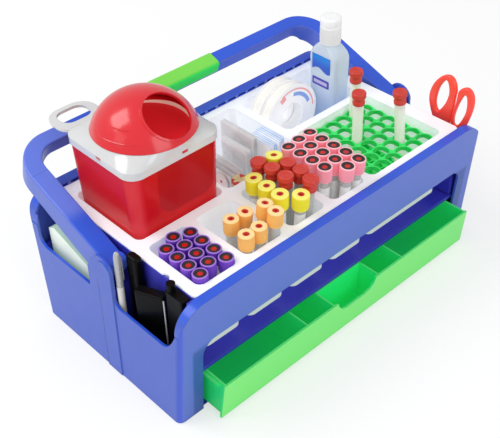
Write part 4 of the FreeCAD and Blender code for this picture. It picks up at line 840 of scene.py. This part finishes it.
def dished_profile(radius):
    """Red stopper: plug, collar, waist and a head with a fine groove and a dished top."""
    plug = 5.05
    waist = radius * 0.78
    collar = radius * 0.87
    groove = radius - 0.15
    return [(0, -22), (4.4, -22), (plug, -20.5), (plug, -15.4), (collar - 0.9, -15.4),
            (collar - 0.2, -15), (collar, -14.2), (collar, -11.6), (collar - 0.3, -10.9),
            (waist + 0.2, -10.3), (waist, -9.4), (waist, -8), (waist + 0.4, -7.3),
            (radius - 0.4, -6.6), (radius, -5.8), (radius, -3.4), (groove, -3.2),
            (groove, -2.8), (radius, -2.6), (radius, -1.3), (radius - 0.3, -0.5),
            (radius - 1, 0), (radius - 1.6, -0.1), (radius - 2.3, -0.8),
            (radius - 3.4, -1.25), (3.2, -1.3), (2.6, -0.9), (1.9, -1.3), (0, -1.5)]


def make_stoppers():
    """Black stoppers that fill the cap mouths, and dished red ones."""
    proud = 0.7 * MM
    for family, body, flange, throat, well in (("purple", "purple_set", 6.35, 5.35, 2.9),
                                               ("pink", "pink_set", 6.65, 5.45, 3.0)):
        node = family + "_stoppers"
        shape = turned(node, flanged_profile(flange, throat, well), 40)
        tops = [(top + axis * proud, axis) for top, axis in tops_and_axes(node)]
        piece = set_shapes(family + "_flanged_stoppers", shape, tops, FINISHES["black_rubber"])
        settle(piece, body, "black_rubber", node, angle=50)
    for node, body, radius in (("red_stoppers", "middle_set", 8.5), ("rack_stoppers", "racked_tubes", 8)):
        shape = turned(node, dished_profile(radius), 40)
        piece = set_shapes(node + "_dished", shape, tops_and_axes(node), FINISHES["red_rubber"])
        settle(piece, body, "red_rubber", node, angle=50)


def label_sleeve(name, low, high, middle, half):
    """Paper sleeve round part of a tube, between two heights and half an angle each side of its middle."""
    inner = 6.03
    outer = 6.11
    steps = 24
    count = steps + 1
    points = []
    for radius, height in ((inner, low), (outer, low), (outer, high), (inner, high)):
        for step in range(count):
            angle = math.radians(middle + half * (2 * step / steps - 1))
            points.append((radius * math.cos(angle) * MM, radius * math.sin(angle) * MM, height * MM))
    ends = [tuple(row * count for row in (0, 1, 2, 3)), tuple(row * count + steps for row in (3, 2, 1, 0))]
    return from_points(name, points, quads(4, count, True, False) + ends)


def make_tube_labels():
    """Plain paper sleeves part of the way round the glass below the caps.

    The ribs that the tree always makes are loose specks here, inside the hollow tubes."""
    finish = paper("tube_label_paper", srgb(236, 236, 234), 0.6, 0.08, 300)
    for family, body, low, high, middle, half in (("pink", "pink_set", -64, -25, -120, 75),
                                                  ("purple", "purple_set", -60, -24, -140, 95),
                                                  ("yellow", "middle_set", -62, -23, -115, 80)):
        shape = label_sleeve(family + "_label", low, high, middle, half)
        places = tops_and_axes(family + "_caps")
        piece = set_shapes(family + "_tube_labels", shape, places, finish, ring=3.0, length=0.1, drop=30)
        settle(piece, body, "paper_stripe", finish=finish)


make_caps()
make_stoppers()
make_tube_labels()


# Rack nets
def net_tree():
    """Tree that fills a rounded plate with rounded cells and dips its top where the bars cross."""
    build = Build("rack_net", **{"Width": float, "Cell": float, "Pitch": float, "Corner": float,
                                 "Height": float, "Dip": float, "Cells": int})
    given = build.given

    def rounded(width, corner, points):
        outline = build.add("GeometryNodeCurvePrimitiveQuadrilateral", {"mode": "RECTANGLE"},
                            {"Width": width, "Height": width})
        soft = build.add("GeometryNodeFilletCurve", {"mode": "POLY"},
                         {"Curve": outline, "Count": 4, "Radius": corner})
        return build.add("GeometryNodeResampleCurve", {"mode": "COUNT"}, {"Curve": soft, "Count": points})

    span = given["Pitch"] * (given["Cells"] - 1)
    grid = build.add("GeometryNodeMeshGrid", inputs={
        "Size X": span, "Size Y": span, "Vertices X": given["Cells"], "Vertices Y": given["Cells"]},
        output="Mesh")
    cells = build.add("GeometryNodeInstanceOnPoints", inputs={
        "Points": grid, "Instance": rounded(given["Cell"], given["Corner"], 28)})
    outlines = build.add("GeometryNodeJoinGeometry", inputs={0: [
        rounded(given["Width"], given["Corner"], 160), build.add("GeometryNodeRealizeInstances",
                                                                 inputs={"Geometry": cells})]})
    top = build.add("GeometryNodeFillCurve", {"mode": "TRIANGLES"}, {"Curve": outlines})
    down = build.add("ShaderNodeCombineXYZ", inputs={2: given["Height"] * -1})
    walls = build.add("GeometryNodeExtrudeMesh", {"mode": "FACES"}, {
        "Mesh": top, "Offset": down, "Offset Scale": 1.0, "Individual": False}, output="Mesh")
    block = build.add("GeometryNodeJoinGeometry", inputs={0: [
        top, build.add("GeometryNodeFlipFaces", inputs={"Mesh": walls})]})
    whole = build.add("GeometryNodeMergeByDistance", inputs={"Geometry": block, "Distance": 0.00001})
    x, y, z = build.axes(build.add("GeometryNodeInputPosition"))
    full_turn = 2 * math.pi

    def crossing(across):
        return (across / given["Pitch"] * full_turn).cosine() * 0.5 + 0.5

    lower = build.add("ShaderNodeCombineXYZ", inputs={2: crossing(x) * crossing(y) * given["Dip"] * -1})
    build.end(build.add("GeometryNodeSetPosition", inputs={"Geometry": whole, "Selection": z > -0.001,
                                                           "Offset": lower}))
    return build


RACK_CELLS = 6
RACK_PITCH = 17.6


def make_nets():
    """Upper and lower nets of the rack; the lower one's place is returned."""
    net = net_tree()
    for node, height, dip in (("rack_upper_lattice", 0.006, 0.0024), ("rack_lower_lattice", 0.009, 0.0005)):
        low, high = (np.array(corner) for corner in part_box(node))
        piece = net.make(node.replace("lattice", "net"), FINISHES["rack_green"], **{
            "Width": float(high[0] - low[0]), "Cell": 0.0158, "Pitch": RACK_PITCH * MM, "Corner": 0.0042,
            "Height": height, "Dip": dip, "Cells": RACK_CELLS})
        middle = Vector(((low[0] + high[0]) / 2, (low[1] + high[1]) / 2, high[2]))
        piece.data.transform(Matrix.Translation(middle))
        settle(piece, "tube_rack", "rack_green", node, angle=50)
    return middle


def make_cell_floors(middle):
    """Ring-shaped floors in the lower net's cells, apart from those that hold a tube."""
    floor_hole = 2.4
    floor_edge = 8.2
    tube_room = 0.012
    tubes = [Vector(top) for top, axis in tops_and_axes("rack_stoppers")]
    floors = []
    for column in range(RACK_CELLS):
        for row in range(RACK_CELLS):
            step = Vector((column - (RACK_CELLS - 1) / 2, row - (RACK_CELLS - 1) / 2, 0))
            cell = middle + step * RACK_PITCH * MM
            if min(math.hypot(cell.x - tube.x, cell.y - tube.y) for tube in tubes) > tube_room:
                floor = turned("cell_floor", [(floor_hole, -5), (floor_edge, -5), (floor_edge, -4),
                                              (floor_hole, -4)], 20, True)
                floor.transform(Matrix.Translation(cell))
                floors.append(floor)
    join_up("rack_cell_floors", floors, "tube_rack", "rack_green")


make_cell_floors(make_nets())


# Sharps container details
DOME_MIDDLE = (-126.5, 35, 218.7)


def make_dome_ridges():
    """Two low finger ridges on the dome's front left, each at its own height and between two turns."""
    dome_radius = 57.35
    ridge_half = 1.1
    steps = 24
    sides = 8
    parts = []
    for height, start, end in ((43.0, -174.0, -145.0), (30.0, -186.0, -132.0)):
        rings = []
        for step in range(steps + 1):
            share = step / steps
            turn = math.radians(start + (end - start) * share)
            swell = math.sin(math.pi * clamped(share, 0.02, 0.98)) ** 0.4
            ring = []
            for corner in range(sides):
                angle = 2 * math.pi * corner / sides
                lift = math.radians(height + swell * math.cos(angle))
                reach = dome_radius + ridge_half * swell * math.sin(angle)
                way = (math.cos(lift) * math.cos(turn), math.cos(lift) * math.sin(turn), math.sin(lift))
                ring.append(tuple(np.array(DOME_MIDDLE) + reach * np.array(way)))
            rings.append(ring)
        parts.append(lofted("dome_ridge", rings))
    join_up("dome_finger_ridges", parts, "dome_cap", "red_dome")


def make_lid_windows():
    """Red tell-tale windows set in the left and front of the lid's skirt."""
    low = 225.9
    high = 228.7
    join_up("lid_windows", [pill("window", (-184.35, 30.6, low), (-183.55, 37.0, high), 0, 1.0),
                            pill("window", (-121.3, -15.6, low), (-114.9, -14.8, high), 1, 1.0)],
            "sharps_container", "red_dome")


def make_collar():
    """Cream liner inside the dome's opening, and a red lip whose foot is raised on the right and rear."""
    foot = 235.1
    place = Matrix.Translation((DOME_MIDDLE[0] * MM, DOME_MIDDLE[1] * MM, 0))
    liner = turned("collar_liner", [(45.9, foot), (46.2, foot), (46.2, 240.8), (45.9, 240.8)],
                   96, True)
    liner.transform(place)
    # The liner's glow is painted light on the collar's inner wall, which the dome shades.
    cream = moulded("cream_liner", srgb(232, 222, 204), rough=0.6, coat=0, shine=0.05,
                    **painted_glow(232, 216, 196, 0.3))
    settle(new_piece("cream_collar_liner", liner), "sharps_container", "white_lid", finish=cream)
    lip = turned("collar_lip", [(45.6, foot), (45.85, foot), (45.85, 240.95), (49.85, 240.95),
                                (49.85, 241.2), (45.6, 241.2)], 96, True)
    for vertex in lip.vertices:
        if vertex.co.z < (foot + 0.9) * MM:
            turn = math.degrees(math.atan2(vertex.co.y, vertex.co.x))
            rise = clamped((turn + 34) / 8, 0, 1) * clamped((138 - turn) / 30, 0, 1)
            vertex.co.z += (2.2 + 2.9 * clamped((62 - turn) / 50, 0, 1)) * rise * MM
    lip.transform(place)
    settle(new_piece("red_collar_lip", lip), "sharps_container", "red_dome", angle=30)


make_dome_ridges()
make_lid_windows()
make_collar()


# Gel bottle
def closed_sheet(name, points, rows, columns):
    """Thin piece from two like grids of points, joined all the way round their edges."""
    wide = columns + 1
    count = (rows + 1) * wide
    faces = quads(rows + 1, wide, False, False) + quads(rows + 1, wide, False, False, count)
    rim = list(range(wide)) + [row * wide + columns for row in range(1, rows + 1)]
    rim += [rows * wide + column for column in range(columns - 1, -1, -1)]
    rim += [row * wide for row in range(rows - 1, 0, -1)]
    for number, corner in enumerate(rim):
        beside = rim[(number + 1) % len(rim)]
        faces.append((corner, beside, beside + count, corner + count))
    return from_points(name, points, faces)


BOTTLE_X = 159.8
BOTTLE_Y = 52.5


def make_bottle():
    """Clear bottle filled with gel: eased foot, faint waist, sloped shoulders and a neck."""
    rings = []
    for height, half_x, half_y, radius in (
            (91.4, 11.5, 18.5, 6), (91.9, 13.2, 20.2, 6.6), (93.2, 14.2, 21.2, 7), (96, 14.5, 21.5, 7),
            (118, 14.1, 21.1, 7), (140, 13.9, 20.8, 7), (165, 14.2, 21.2, 7), (192, 14.5, 21.5, 7),
            (197, 14.4, 21.2, 7.5), (201.5, 13.8, 19.8, 9), (205.5, 12.6, 17, 10), (208.6, 11.3, 13.4, 10.2),
            (210.6, 10.6, 11, 10), (211.6, 9.9, 9.9, 9.7), (223.6, 9.7, 9.7, 9.6)):
        rings.append([(BOTTLE_X + px, BOTTLE_Y + py, height)
                      for px, py in plan_rounded(half_x, half_y, radius, 8)])
    settle(new_piece("bottle_with_gel", lofted("bottle_with_gel", rings)), "gel_bottle", "gel", "bottle_body",
           angle=60)


def make_bottle_label():
    """Plain blue band with a wavy foot on the bottle's left side, and a plain violet patch below it."""
    rows = 8
    columns = 28
    width = 28.4
    top = 198.5
    waist_height = 165
    points = []
    for outer in (144.93, 145.25):
        for row in range(rows + 1):
            for column in range(columns + 1):
                across = -width / 2 + width * column / columns
                low = 179.5 + 2.6 * math.sin(across / width * 2 * math.pi + 0.5)
                height = low + (top - low) * row / rows
                sink = 0.14 * math.cos((height - waist_height) / 60 * math.pi) ** 2
                points.append(((outer + sink) * MM, (BOTTLE_Y + across) * MM, height * MM))
    band = closed_sheet("wavy_label", points, rows, columns)
    join_up("bottle_label_band", [band], "gel_bottle", "label_blue", "bottle_label")
    patch = pill("label_patch", (145.0, 40, 158), (145.5, 66, 168), 0, 0.9, 0.05)
    violet = moulded("patch_violet", srgb(74, 66, 186), rough=0.35, paint=patch_band)
    join_up("bottle_label_patch", [patch], "gel_bottle", "label_blue", finish=violet)


def make_bottle_cap():
    """Ribbed cap on the bottle's neck, and a domed flip lid with a flat back and a thumb notch."""
    neck_foot = 0.2121
    notch_top = 0.2375
    notch_depth = 0.0009
    cap = turned("bottle_cap", [(10.4, -0.3), (12.1, -0.3), (12.15, 0), (12.15, 21.6),
                                (11.9, 22.2), (11.4, 22.6), (2.1, 22.6), (2.1, 13),
                                (10.4, 13)], 64, True)
    places = [((BOTTLE_X * MM, BOTTLE_Y * MM, neck_foot), (0, 0, 1))]
    piece = set_shapes("ribbed_bottle_cap", cap, places, FINISHES["white_plastic"], 60, 12.1, 0.4, 18, -10.6)
    settle(piece, "gel_bottle", "white_plastic", "bottle_cap")
    lid = turned("flip_lid", [(0, 234.8), (12.1, 234.8), (12.5, 235.2), (12.5, 241.4),
                              (12.2, 242.6), (11.3, 243.4), (9.5, 243.75), (7, 243.6),
                              (0, 243.3)], 64)
    lid.transform(Matrix.Translation((BOTTLE_X * MM, BOTTLE_Y * MM, 0)))
    for vertex in lid.vertices:
        vertex.co.y = min(vertex.co.y, (BOTTLE_Y + 11) * MM)
        if vertex.co.y < (BOTTLE_Y - 11.2) * MM and vertex.co.z < notch_top:
            vertex.co.y += notch_depth
    settle(new_piece("domed_flip_lid", lid), "bottle_lid", "white_plastic", "bottle_flip_lid")


make_bottle()
make_bottle_label()
make_bottle_cap()


# Tape spools
def make_spools():
    """Reels: faces with a raised hub and rim, and wound tape round the outside between the rims."""
    half_width = 7
    profile = [(17, 13.0), (17, 1.0), (17.3, 0.35), (18, 0), (19.6, 0), (20.2, 0.3),
               (37.6, 0.3), (38.2, 0), (40.7, 0), (41.15, 0.2), (41.3, 0.6), (41.1, 1.1),
               (40.6, 1.25), (39.7, 1.3, 1), (39.75, 4, 1), (39.65, 7, 1), (39.75, 10, 1), (39.7, 12.7, 1),
               (40.6, 12.75), (41.1, 12.9), (41.3, 13.4), (41.15, 13.8), (40.7, 14),
               (38.2, 14), (37.6, 13.7), (20.2, 13.7), (19.6, 14), (18, 14), (17.3, 13.65)]
    red = srgb(244, 150, 150)
    blue = srgb(110, 150, 226)
    pale = srgb(130, 186, 240)
    prints = {"tape_spool_front": [(0.0262, 0.0312, 52, 34, blue), (0.0342, 0.0362, 60, 58, red),
                                   (0.0300, 0.0345, 186, 15, red), (0.0280, 0.0350, 118, 8, red)],
              "tape_spool_rear": [(0.0290, 0.0372, 186, 16, pale), (0.0342, 0.0362, 140, 22, red)]}
    for node, body in (("tape_spool_front", "front_tape"), ("tape_spool_rear", "rear_tape")):
        low, high = (np.array(corner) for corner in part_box(node))
        middle = (low + high) / 2
        steps = [(radius, height - half_width, *mark) for radius, height, *mark in profile]
        mesh = turned(node, steps, 96, True)
        mesh.transform(Matrix.Translation(tuple(middle)) @ Matrix.Rotation(math.radians(-90), 4, "X"))
        # The faces' glow is painted light.
        finish = moulded(node + "_face", srgb(250, 250, 251), rough=0.4,
                         paint=spool_face(tuple(middle), prints[node]), **painted_glow(255, 255, 255, 0.09))
        settle(new_piece(node.replace("spool", "reel"), mesh), body, "tape_white", node, finish=finish)


make_spools()


# Packets
def packet(name, thickness, width, height, bulge, wrinkle=0.25, crimp=4.0, seed=0.0):
    """Sealed flat packet standing on its foot at the origin, thin along X, with crimped ends."""
    columns = 14
    rows = 20
    film = 0.12
    points = []
    marks = []
    for side in (-1, 1):
        for row in range(rows + 1):
            for column in range(columns + 1):
                across = 2 * column / columns - 1
                up = 2 * row / rows - 1
                reach = height / 2 * (1 - abs(up))
                swell = min(reach / crimp, 1) ** 2 * (1 - across ** 6)
                fat = film + (thickness / 2 - film) * swell * (1 - 0.25 * up * up)
                bend = bulge * math.cos(across * 1.4) * math.cos(up * 1.1) - bulge * 0.6
                crease = wrinkle * noise.noise(Vector((across * 2 + seed, up * 3, seed)))
                points.append(((side * fat + bend + crease) * MM, across * width / 2 * MM,
                               (up + 1) * height / 2 * MM))
                marks.append(1 if reach < crimp * 0.8 or abs(across) > 0.93 else 0)
    mesh = closed_sheet(name, points, rows, columns)
    mark_points(mesh, marks)
    return mesh


def row_tree():
    """Tree that stands a packet in a row, each a little higher, lower or tilted."""
    build = Build("packet_row", **{"Shape": bpy.types.Object, "Count": int, "First": Vector, "Step": Vector,
                                   "Tilt": float, "Slip": float, "Seed": int})
    given = build.given
    line = build.add("GeometryNodeMeshLine", {"mode": "OFFSET"}, {
        "Count": given["Count"], "Start Location": given["First"], "Offset": given["Step"]})
    shape = build.add("GeometryNodeObjectInfo", inputs={"Object": given["Shape"]}, output="Geometry")

    def random(low, high, seed):
        return build.add("FunctionNodeRandomValue", {"data_type": "FLOAT"}, {2: low, 3: high, "Seed": seed},
                         output=1)

    tilt = random(given["Tilt"] * -1, given["Tilt"], given["Seed"])
    turn = build.add("ShaderNodeCombineXYZ", inputs={0: tilt * 0.6, 1: tilt * 0.25, 2: tilt})
    upright = build.add("FunctionNodeEulerToRotation", inputs={0: turn})
    row = build.add("GeometryNodeInstanceOnPoints", inputs={
        "Points": line, "Instance": shape, "Rotation": upright})
    aside = random(given["Slip"] * -1, given["Slip"], given["Seed"] + 3)
    lift = random(0.0, given["Slip"], given["Seed"] + 7)
    slip = build.add("ShaderNodeCombineXYZ", inputs={1: aside, 2: lift})
    build.end(build.add("GeometryNodeTranslateInstances", inputs={"Instances": row, "Translation": slip}))
    return build


ROW = row_tree()


def packet_row(name, shape, body, slot, nodes, count, first, step, tilt, slip, seed):
    pattern = new_piece(name + "_pattern", shape)
    piece = ROW.make(name, FINISHES[slot], **{
        "Shape": pattern, "Count": count, "First": tuple(part * MM for part in first),
        "Step": tuple(part * MM for part in step), "Tilt": math.radians(tilt), "Slip": slip * MM,
        "Seed": seed})
    bpy.data.objects.remove(pattern)
    settle(piece, body, slot, *nodes, angle=60)


def make_packets():
    """Striped wrappers, grey foil packets in a rear and a nearer row, and clear pouches."""
    foot = 91.5
    packet_row("striped_wrapper_stack", packet("wrapper", 1.25, 35, 64, 0.25, 0.15, 3), "wrapper_stack",
               "paper_stripe", ["striped_wrappers"], 17, (15.2, 22.6, foot), (1.63, 0.2, 0), 1.2, 0.9, 4)
    rear = packet("foil_packet", 2.3, 54, 73.5, 0.4, 0.35, 4, 2.0)
    near = packet("foil_packet", 2.3, 42, 62.5, 0.4, 0.35, 4, 5.0)
    for name, shape, nodes, first in (("rear_grey_packets", rear, ["grey_packets"], (5.3, 48, foot)),
                                      ("near_grey_packets", near, [], (-6.6, 40, foot))):
        packet_row(name, shape, "grey_stack", "foil_grey", nodes, 3, first, (2.45, 0, 0), 0.7, 0.7, 9)
    packet_row("clear_pouch_row", packet("pouch", 3.2, 44, 50, 0.5, 0.8, 4, 8.0), "pouch_stack",
               "pouch_clear", ["clear_pouches"], 4, (-38.5, 32, foot), (5.8, 0, 0.4), 2.0, 0.6, 2)


make_packets()


# Pocket contents
def make_device_trim():
    """Silver side strips and a screen on the front pocket device."""
    corner = (-0.2167, -0.0494, 0)
    turn = math.radians(-67.6)
    place = Matrix.Translation(corner) @ Matrix.Rotation(turn, 4, "Z")
    strips = []
    for low, high in ((0.1, 2.9), (26.6, 30.9)):
        strip = pill("device_strip", (low, -1.2, 66), (high, 0.1, 131), 1, 1.0, 0.2)
        strip.transform(place)
        strips.append(strip)
    join_up("device_side_strips", strips, "device_pair", "pen_silver",
            finish=moulded("strip_silver", srgb(226, 227, 228), rough=0.3, edge=0.0003))
    low, high = (np.array(corner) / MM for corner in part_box("device_face"))
    screen = pill("device_screen", (3.2, -0.4, float(low[2])), (26.2, -0.05, float(high[2]) - 8), 1, 1.2, 0.1)
    screen.transform(place)
    join_up("device_screen", [screen], "device_pair", "screen_grey", "device_face")


make_device_trim()


def make_pen_head():
    """Rounded grey head with a springy clip on the pen."""
    (top, axis), = tops_and_axes("pen_barrel")
    head = turned("pen_head", [(0, 0.1), (3.6, 0.1), (3.6, 28), (3.5, 33), (3.2, 36.5),
                               (2.6, 39.3), (1.7, 41.2), (0.8, 41.9), (0, 42)], 32)
    rings = []
    for height, shift, half_x, half_y in ((5, 4.5, 0.3, 0.8), (6, 4.6, 0.6, 1.15), (16, 4.5, 0.6, 1.3),
                                          (28, 4.2, 0.7, 1.3), (33, 3.7, 0.9, 1.25), (35.5, 3.0, 0.8, 1.0)):
        rings.append([(shift + px, py, height) for px, py in plan_rounded(half_x, half_y, 0.28)])
    turn = Vector((0, 0, 1)).rotation_difference(Vector(axis))
    place = Matrix.Translation(tuple(top)) @ turn.to_matrix().to_4x4()
    parts = [head, lofted("pen_clip", rings)]
    for part in parts:
        part.transform(place)
    join_up("rounded_pen_head", parts, "pen", "pen_silver", "pen_clip", angle=50)


make_pen_head()


def round_the_middle(outline, middle, angles):
    """Reach from the middle to a smooth closed outline at each angle."""
    corners = np.array(outline, float)
    dense = []
    for number in range(len(corners)):
        before, first, second, after = (corners[(number + step) % len(corners)] for step in (-1, 0, 1, 2))
        for share in np.linspace(0, 1, 12, endpoint=False):
            dense.append(0.5 * (2 * first + (second - before) * share
                                + (2 * before - 5 * first + 4 * second - after) * share ** 2
                                + (3 * first - before - 3 * second + after) * share ** 3))
    away = np.array(dense) - middle
    turn = np.arctan2(away[:, 1], away[:, 0]) % (2 * math.pi)
    order = np.argsort(turn)
    return np.interp(angles, turn[order], np.hypot(*away.T)[order], period=2 * math.pi)


def finger_loop(name, outer, hole, middle, side):
    """Closed loop with rounded edges between two outlines, kept to one side of the gap between the halves."""
    stations = 56
    origin = (211, -86, 117)
    half_thick = 2.95
    clearance = 0.35
    gap_middle = -11
    gap_height = 93
    gap_lean = 0.0741
    angles = np.linspace(0, 2 * math.pi, stations, endpoint=False)
    ways = np.stack([np.cos(angles), np.sin(angles)], 1)
    far = middle + ways * (round_the_middle(outer, middle, angles) * 0.99)[:, None]
    near = middle + ways * round_the_middle(hole, middle, angles)[:, None]
    for number in range(stations):
        gap = gap_middle + (gap_height - far[number, 1]) * gap_lean
        if side > 0:
            far[number, 0] = max(far[number, 0], gap + clearance)
        else:
            far[number, 0] = min(far[number, 0], gap - clearance)
    points = []
    for start, end in zip(near, far):
        half = float(np.hypot(*(end - start))) / 2
        way = (end - start) / (2 * half)
        for across, out in plan_rounded(half, half_thick, min(2.5, half * 0.95), 3):
            y, z = (start + end) / 2 + way * across
            points.append(((origin[0] + out) * MM, (origin[1] + y) * MM, (origin[2] + z) * MM))
    return from_points(name, points, quads(stations, len(points) // stations, True, True))


def make_finger_loops():
    """Finger loops of the two scissors halves, each on its own half."""
    loop_a = finger_loop("finger_loop_a", [
        (27, 43), (25, 61), (17, 75), (7, 83), (-3, 82), (-9, 67), (-6.5, 38), (-4, 21), (7, 14), (18, 21)],
        [(17.6, 43), (15.2, 61), (10, 72), (5.5, 76.5), (2, 71), (0.8, 61), (3.6, 49), (8.4, 39), (13.5, 33)],
        (9, 54), 1)
    join_up("rounded_finger_loop_a", [loop_a], "scissors_half", "scissor_red", "scissor_handle_a", angle=60)
    loop_b = finger_loop("finger_loop_b", [
        (-12, 71), (-21, 78), (-29, 75), (-33, 64), (-31.5, 47), (-25, 25), (-17, 14), (-9, 13), (-5.5, 19),
        (-7.5, 35), (-10.5, 61)],
        [(-15, 57), (-20.3, 68), (-24, 64), (-24.5, 50), (-21, 37), (-16.5, 27.5), (-12.5, 24.5), (-9.6, 28),
         (-10, 40)], (-17, 46), -1)
    join_up("rounded_finger_loop_b", [loop_b], "scissors", "scissor_red", "scissor_handle_b", angle=60)


make_finger_loops()


# Floor and light
def make_floor():
    """Wide pale floor that looks white and keeps the tray's shadow."""
    reach = 6
    seen_glow = 0.6
    mesh = bpy.data.meshes.new("studio_floor")
    mesh.from_pydata([(-reach, -reach, 0), (reach, -reach, 0), (reach, reach, 0), (-reach, reach, 0)], [],
                     [(0, 1, 2, 3)])
    floor = bpy.data.objects.new("studio_floor", mesh)
    bpy.context.scene.collection.objects.link(floor)
    finish = Finish("studio_floor")
    seen = finish.add("ShaderNodeLightPath")
    matte = finish.add("ShaderNodeBsdfDiffuse", inputs={
        "Color": finish.blend(seen, (0.86, 0.86, 0.86), (0.42, 0.42, 0.42))})
    bright = finish.add("ShaderNodeEmission", inputs={"Color": (1, 1, 1), "Strength": seen * seen_glow})
    both = finish.add("ShaderNodeAddShader", inputs={0: matte, 1: bright})
    finish.add("ShaderNodeOutputMaterial", inputs={"Surface": both})
    mesh.materials.append(finish.material)


def make_light():
    """White surroundings, brighter where the camera sees them straight or through glass, and soft lamps."""
    around = 0.66
    behind = 1.0
    world = bpy.data.worlds.new("studio")
    bpy.context.scene.world = world
    world.use_nodes = True
    sky = Maker()
    sky.start(world.node_tree)
    through = sky.add("ShaderNodeLightPath", output="Is Transmission Ray")
    seen = sky.add("ShaderNodeLightPath", output="Is Camera Ray").at_least(through)
    level = sky.add("ShaderNodeMapRange", inputs={"Value": seen, "To Min": around, "To Max": behind})
    back = sky.add("ShaderNodeBackground", inputs={"Color": (1, 1, 1), "Strength": level})
    sky.add("ShaderNodeOutputWorld", inputs={"Surface": back})
    for name, place, aim, size, power in (
            ("overhead_softbox", (-1.0, 0.8, 1.6), (0, 0, 0.1), 1.0, 14.5),
            ("front_softbox", (-0.2, -1.9, 1.1), (0, 0, 0.1), 1.2, 10.5),
            ("side_softbox", (-1.8, 0.2, 1.1), (0, 0, 0.1), 0.7, 1.5)):
        data = bpy.data.lights.new(name, "AREA")
        data.size = size
        data.energy = power
        lamp = bpy.data.objects.new(name, data)
        lamp.location = place
        lamp.rotation_euler = (Vector(aim) - Vector(place)).to_track_quat("-Z", "Y").to_euler()
        bpy.context.scene.collection.objects.link(lamp)


make_floor()
make_light()
bpy.context.scene.view_settings.view_transform = "Standard"
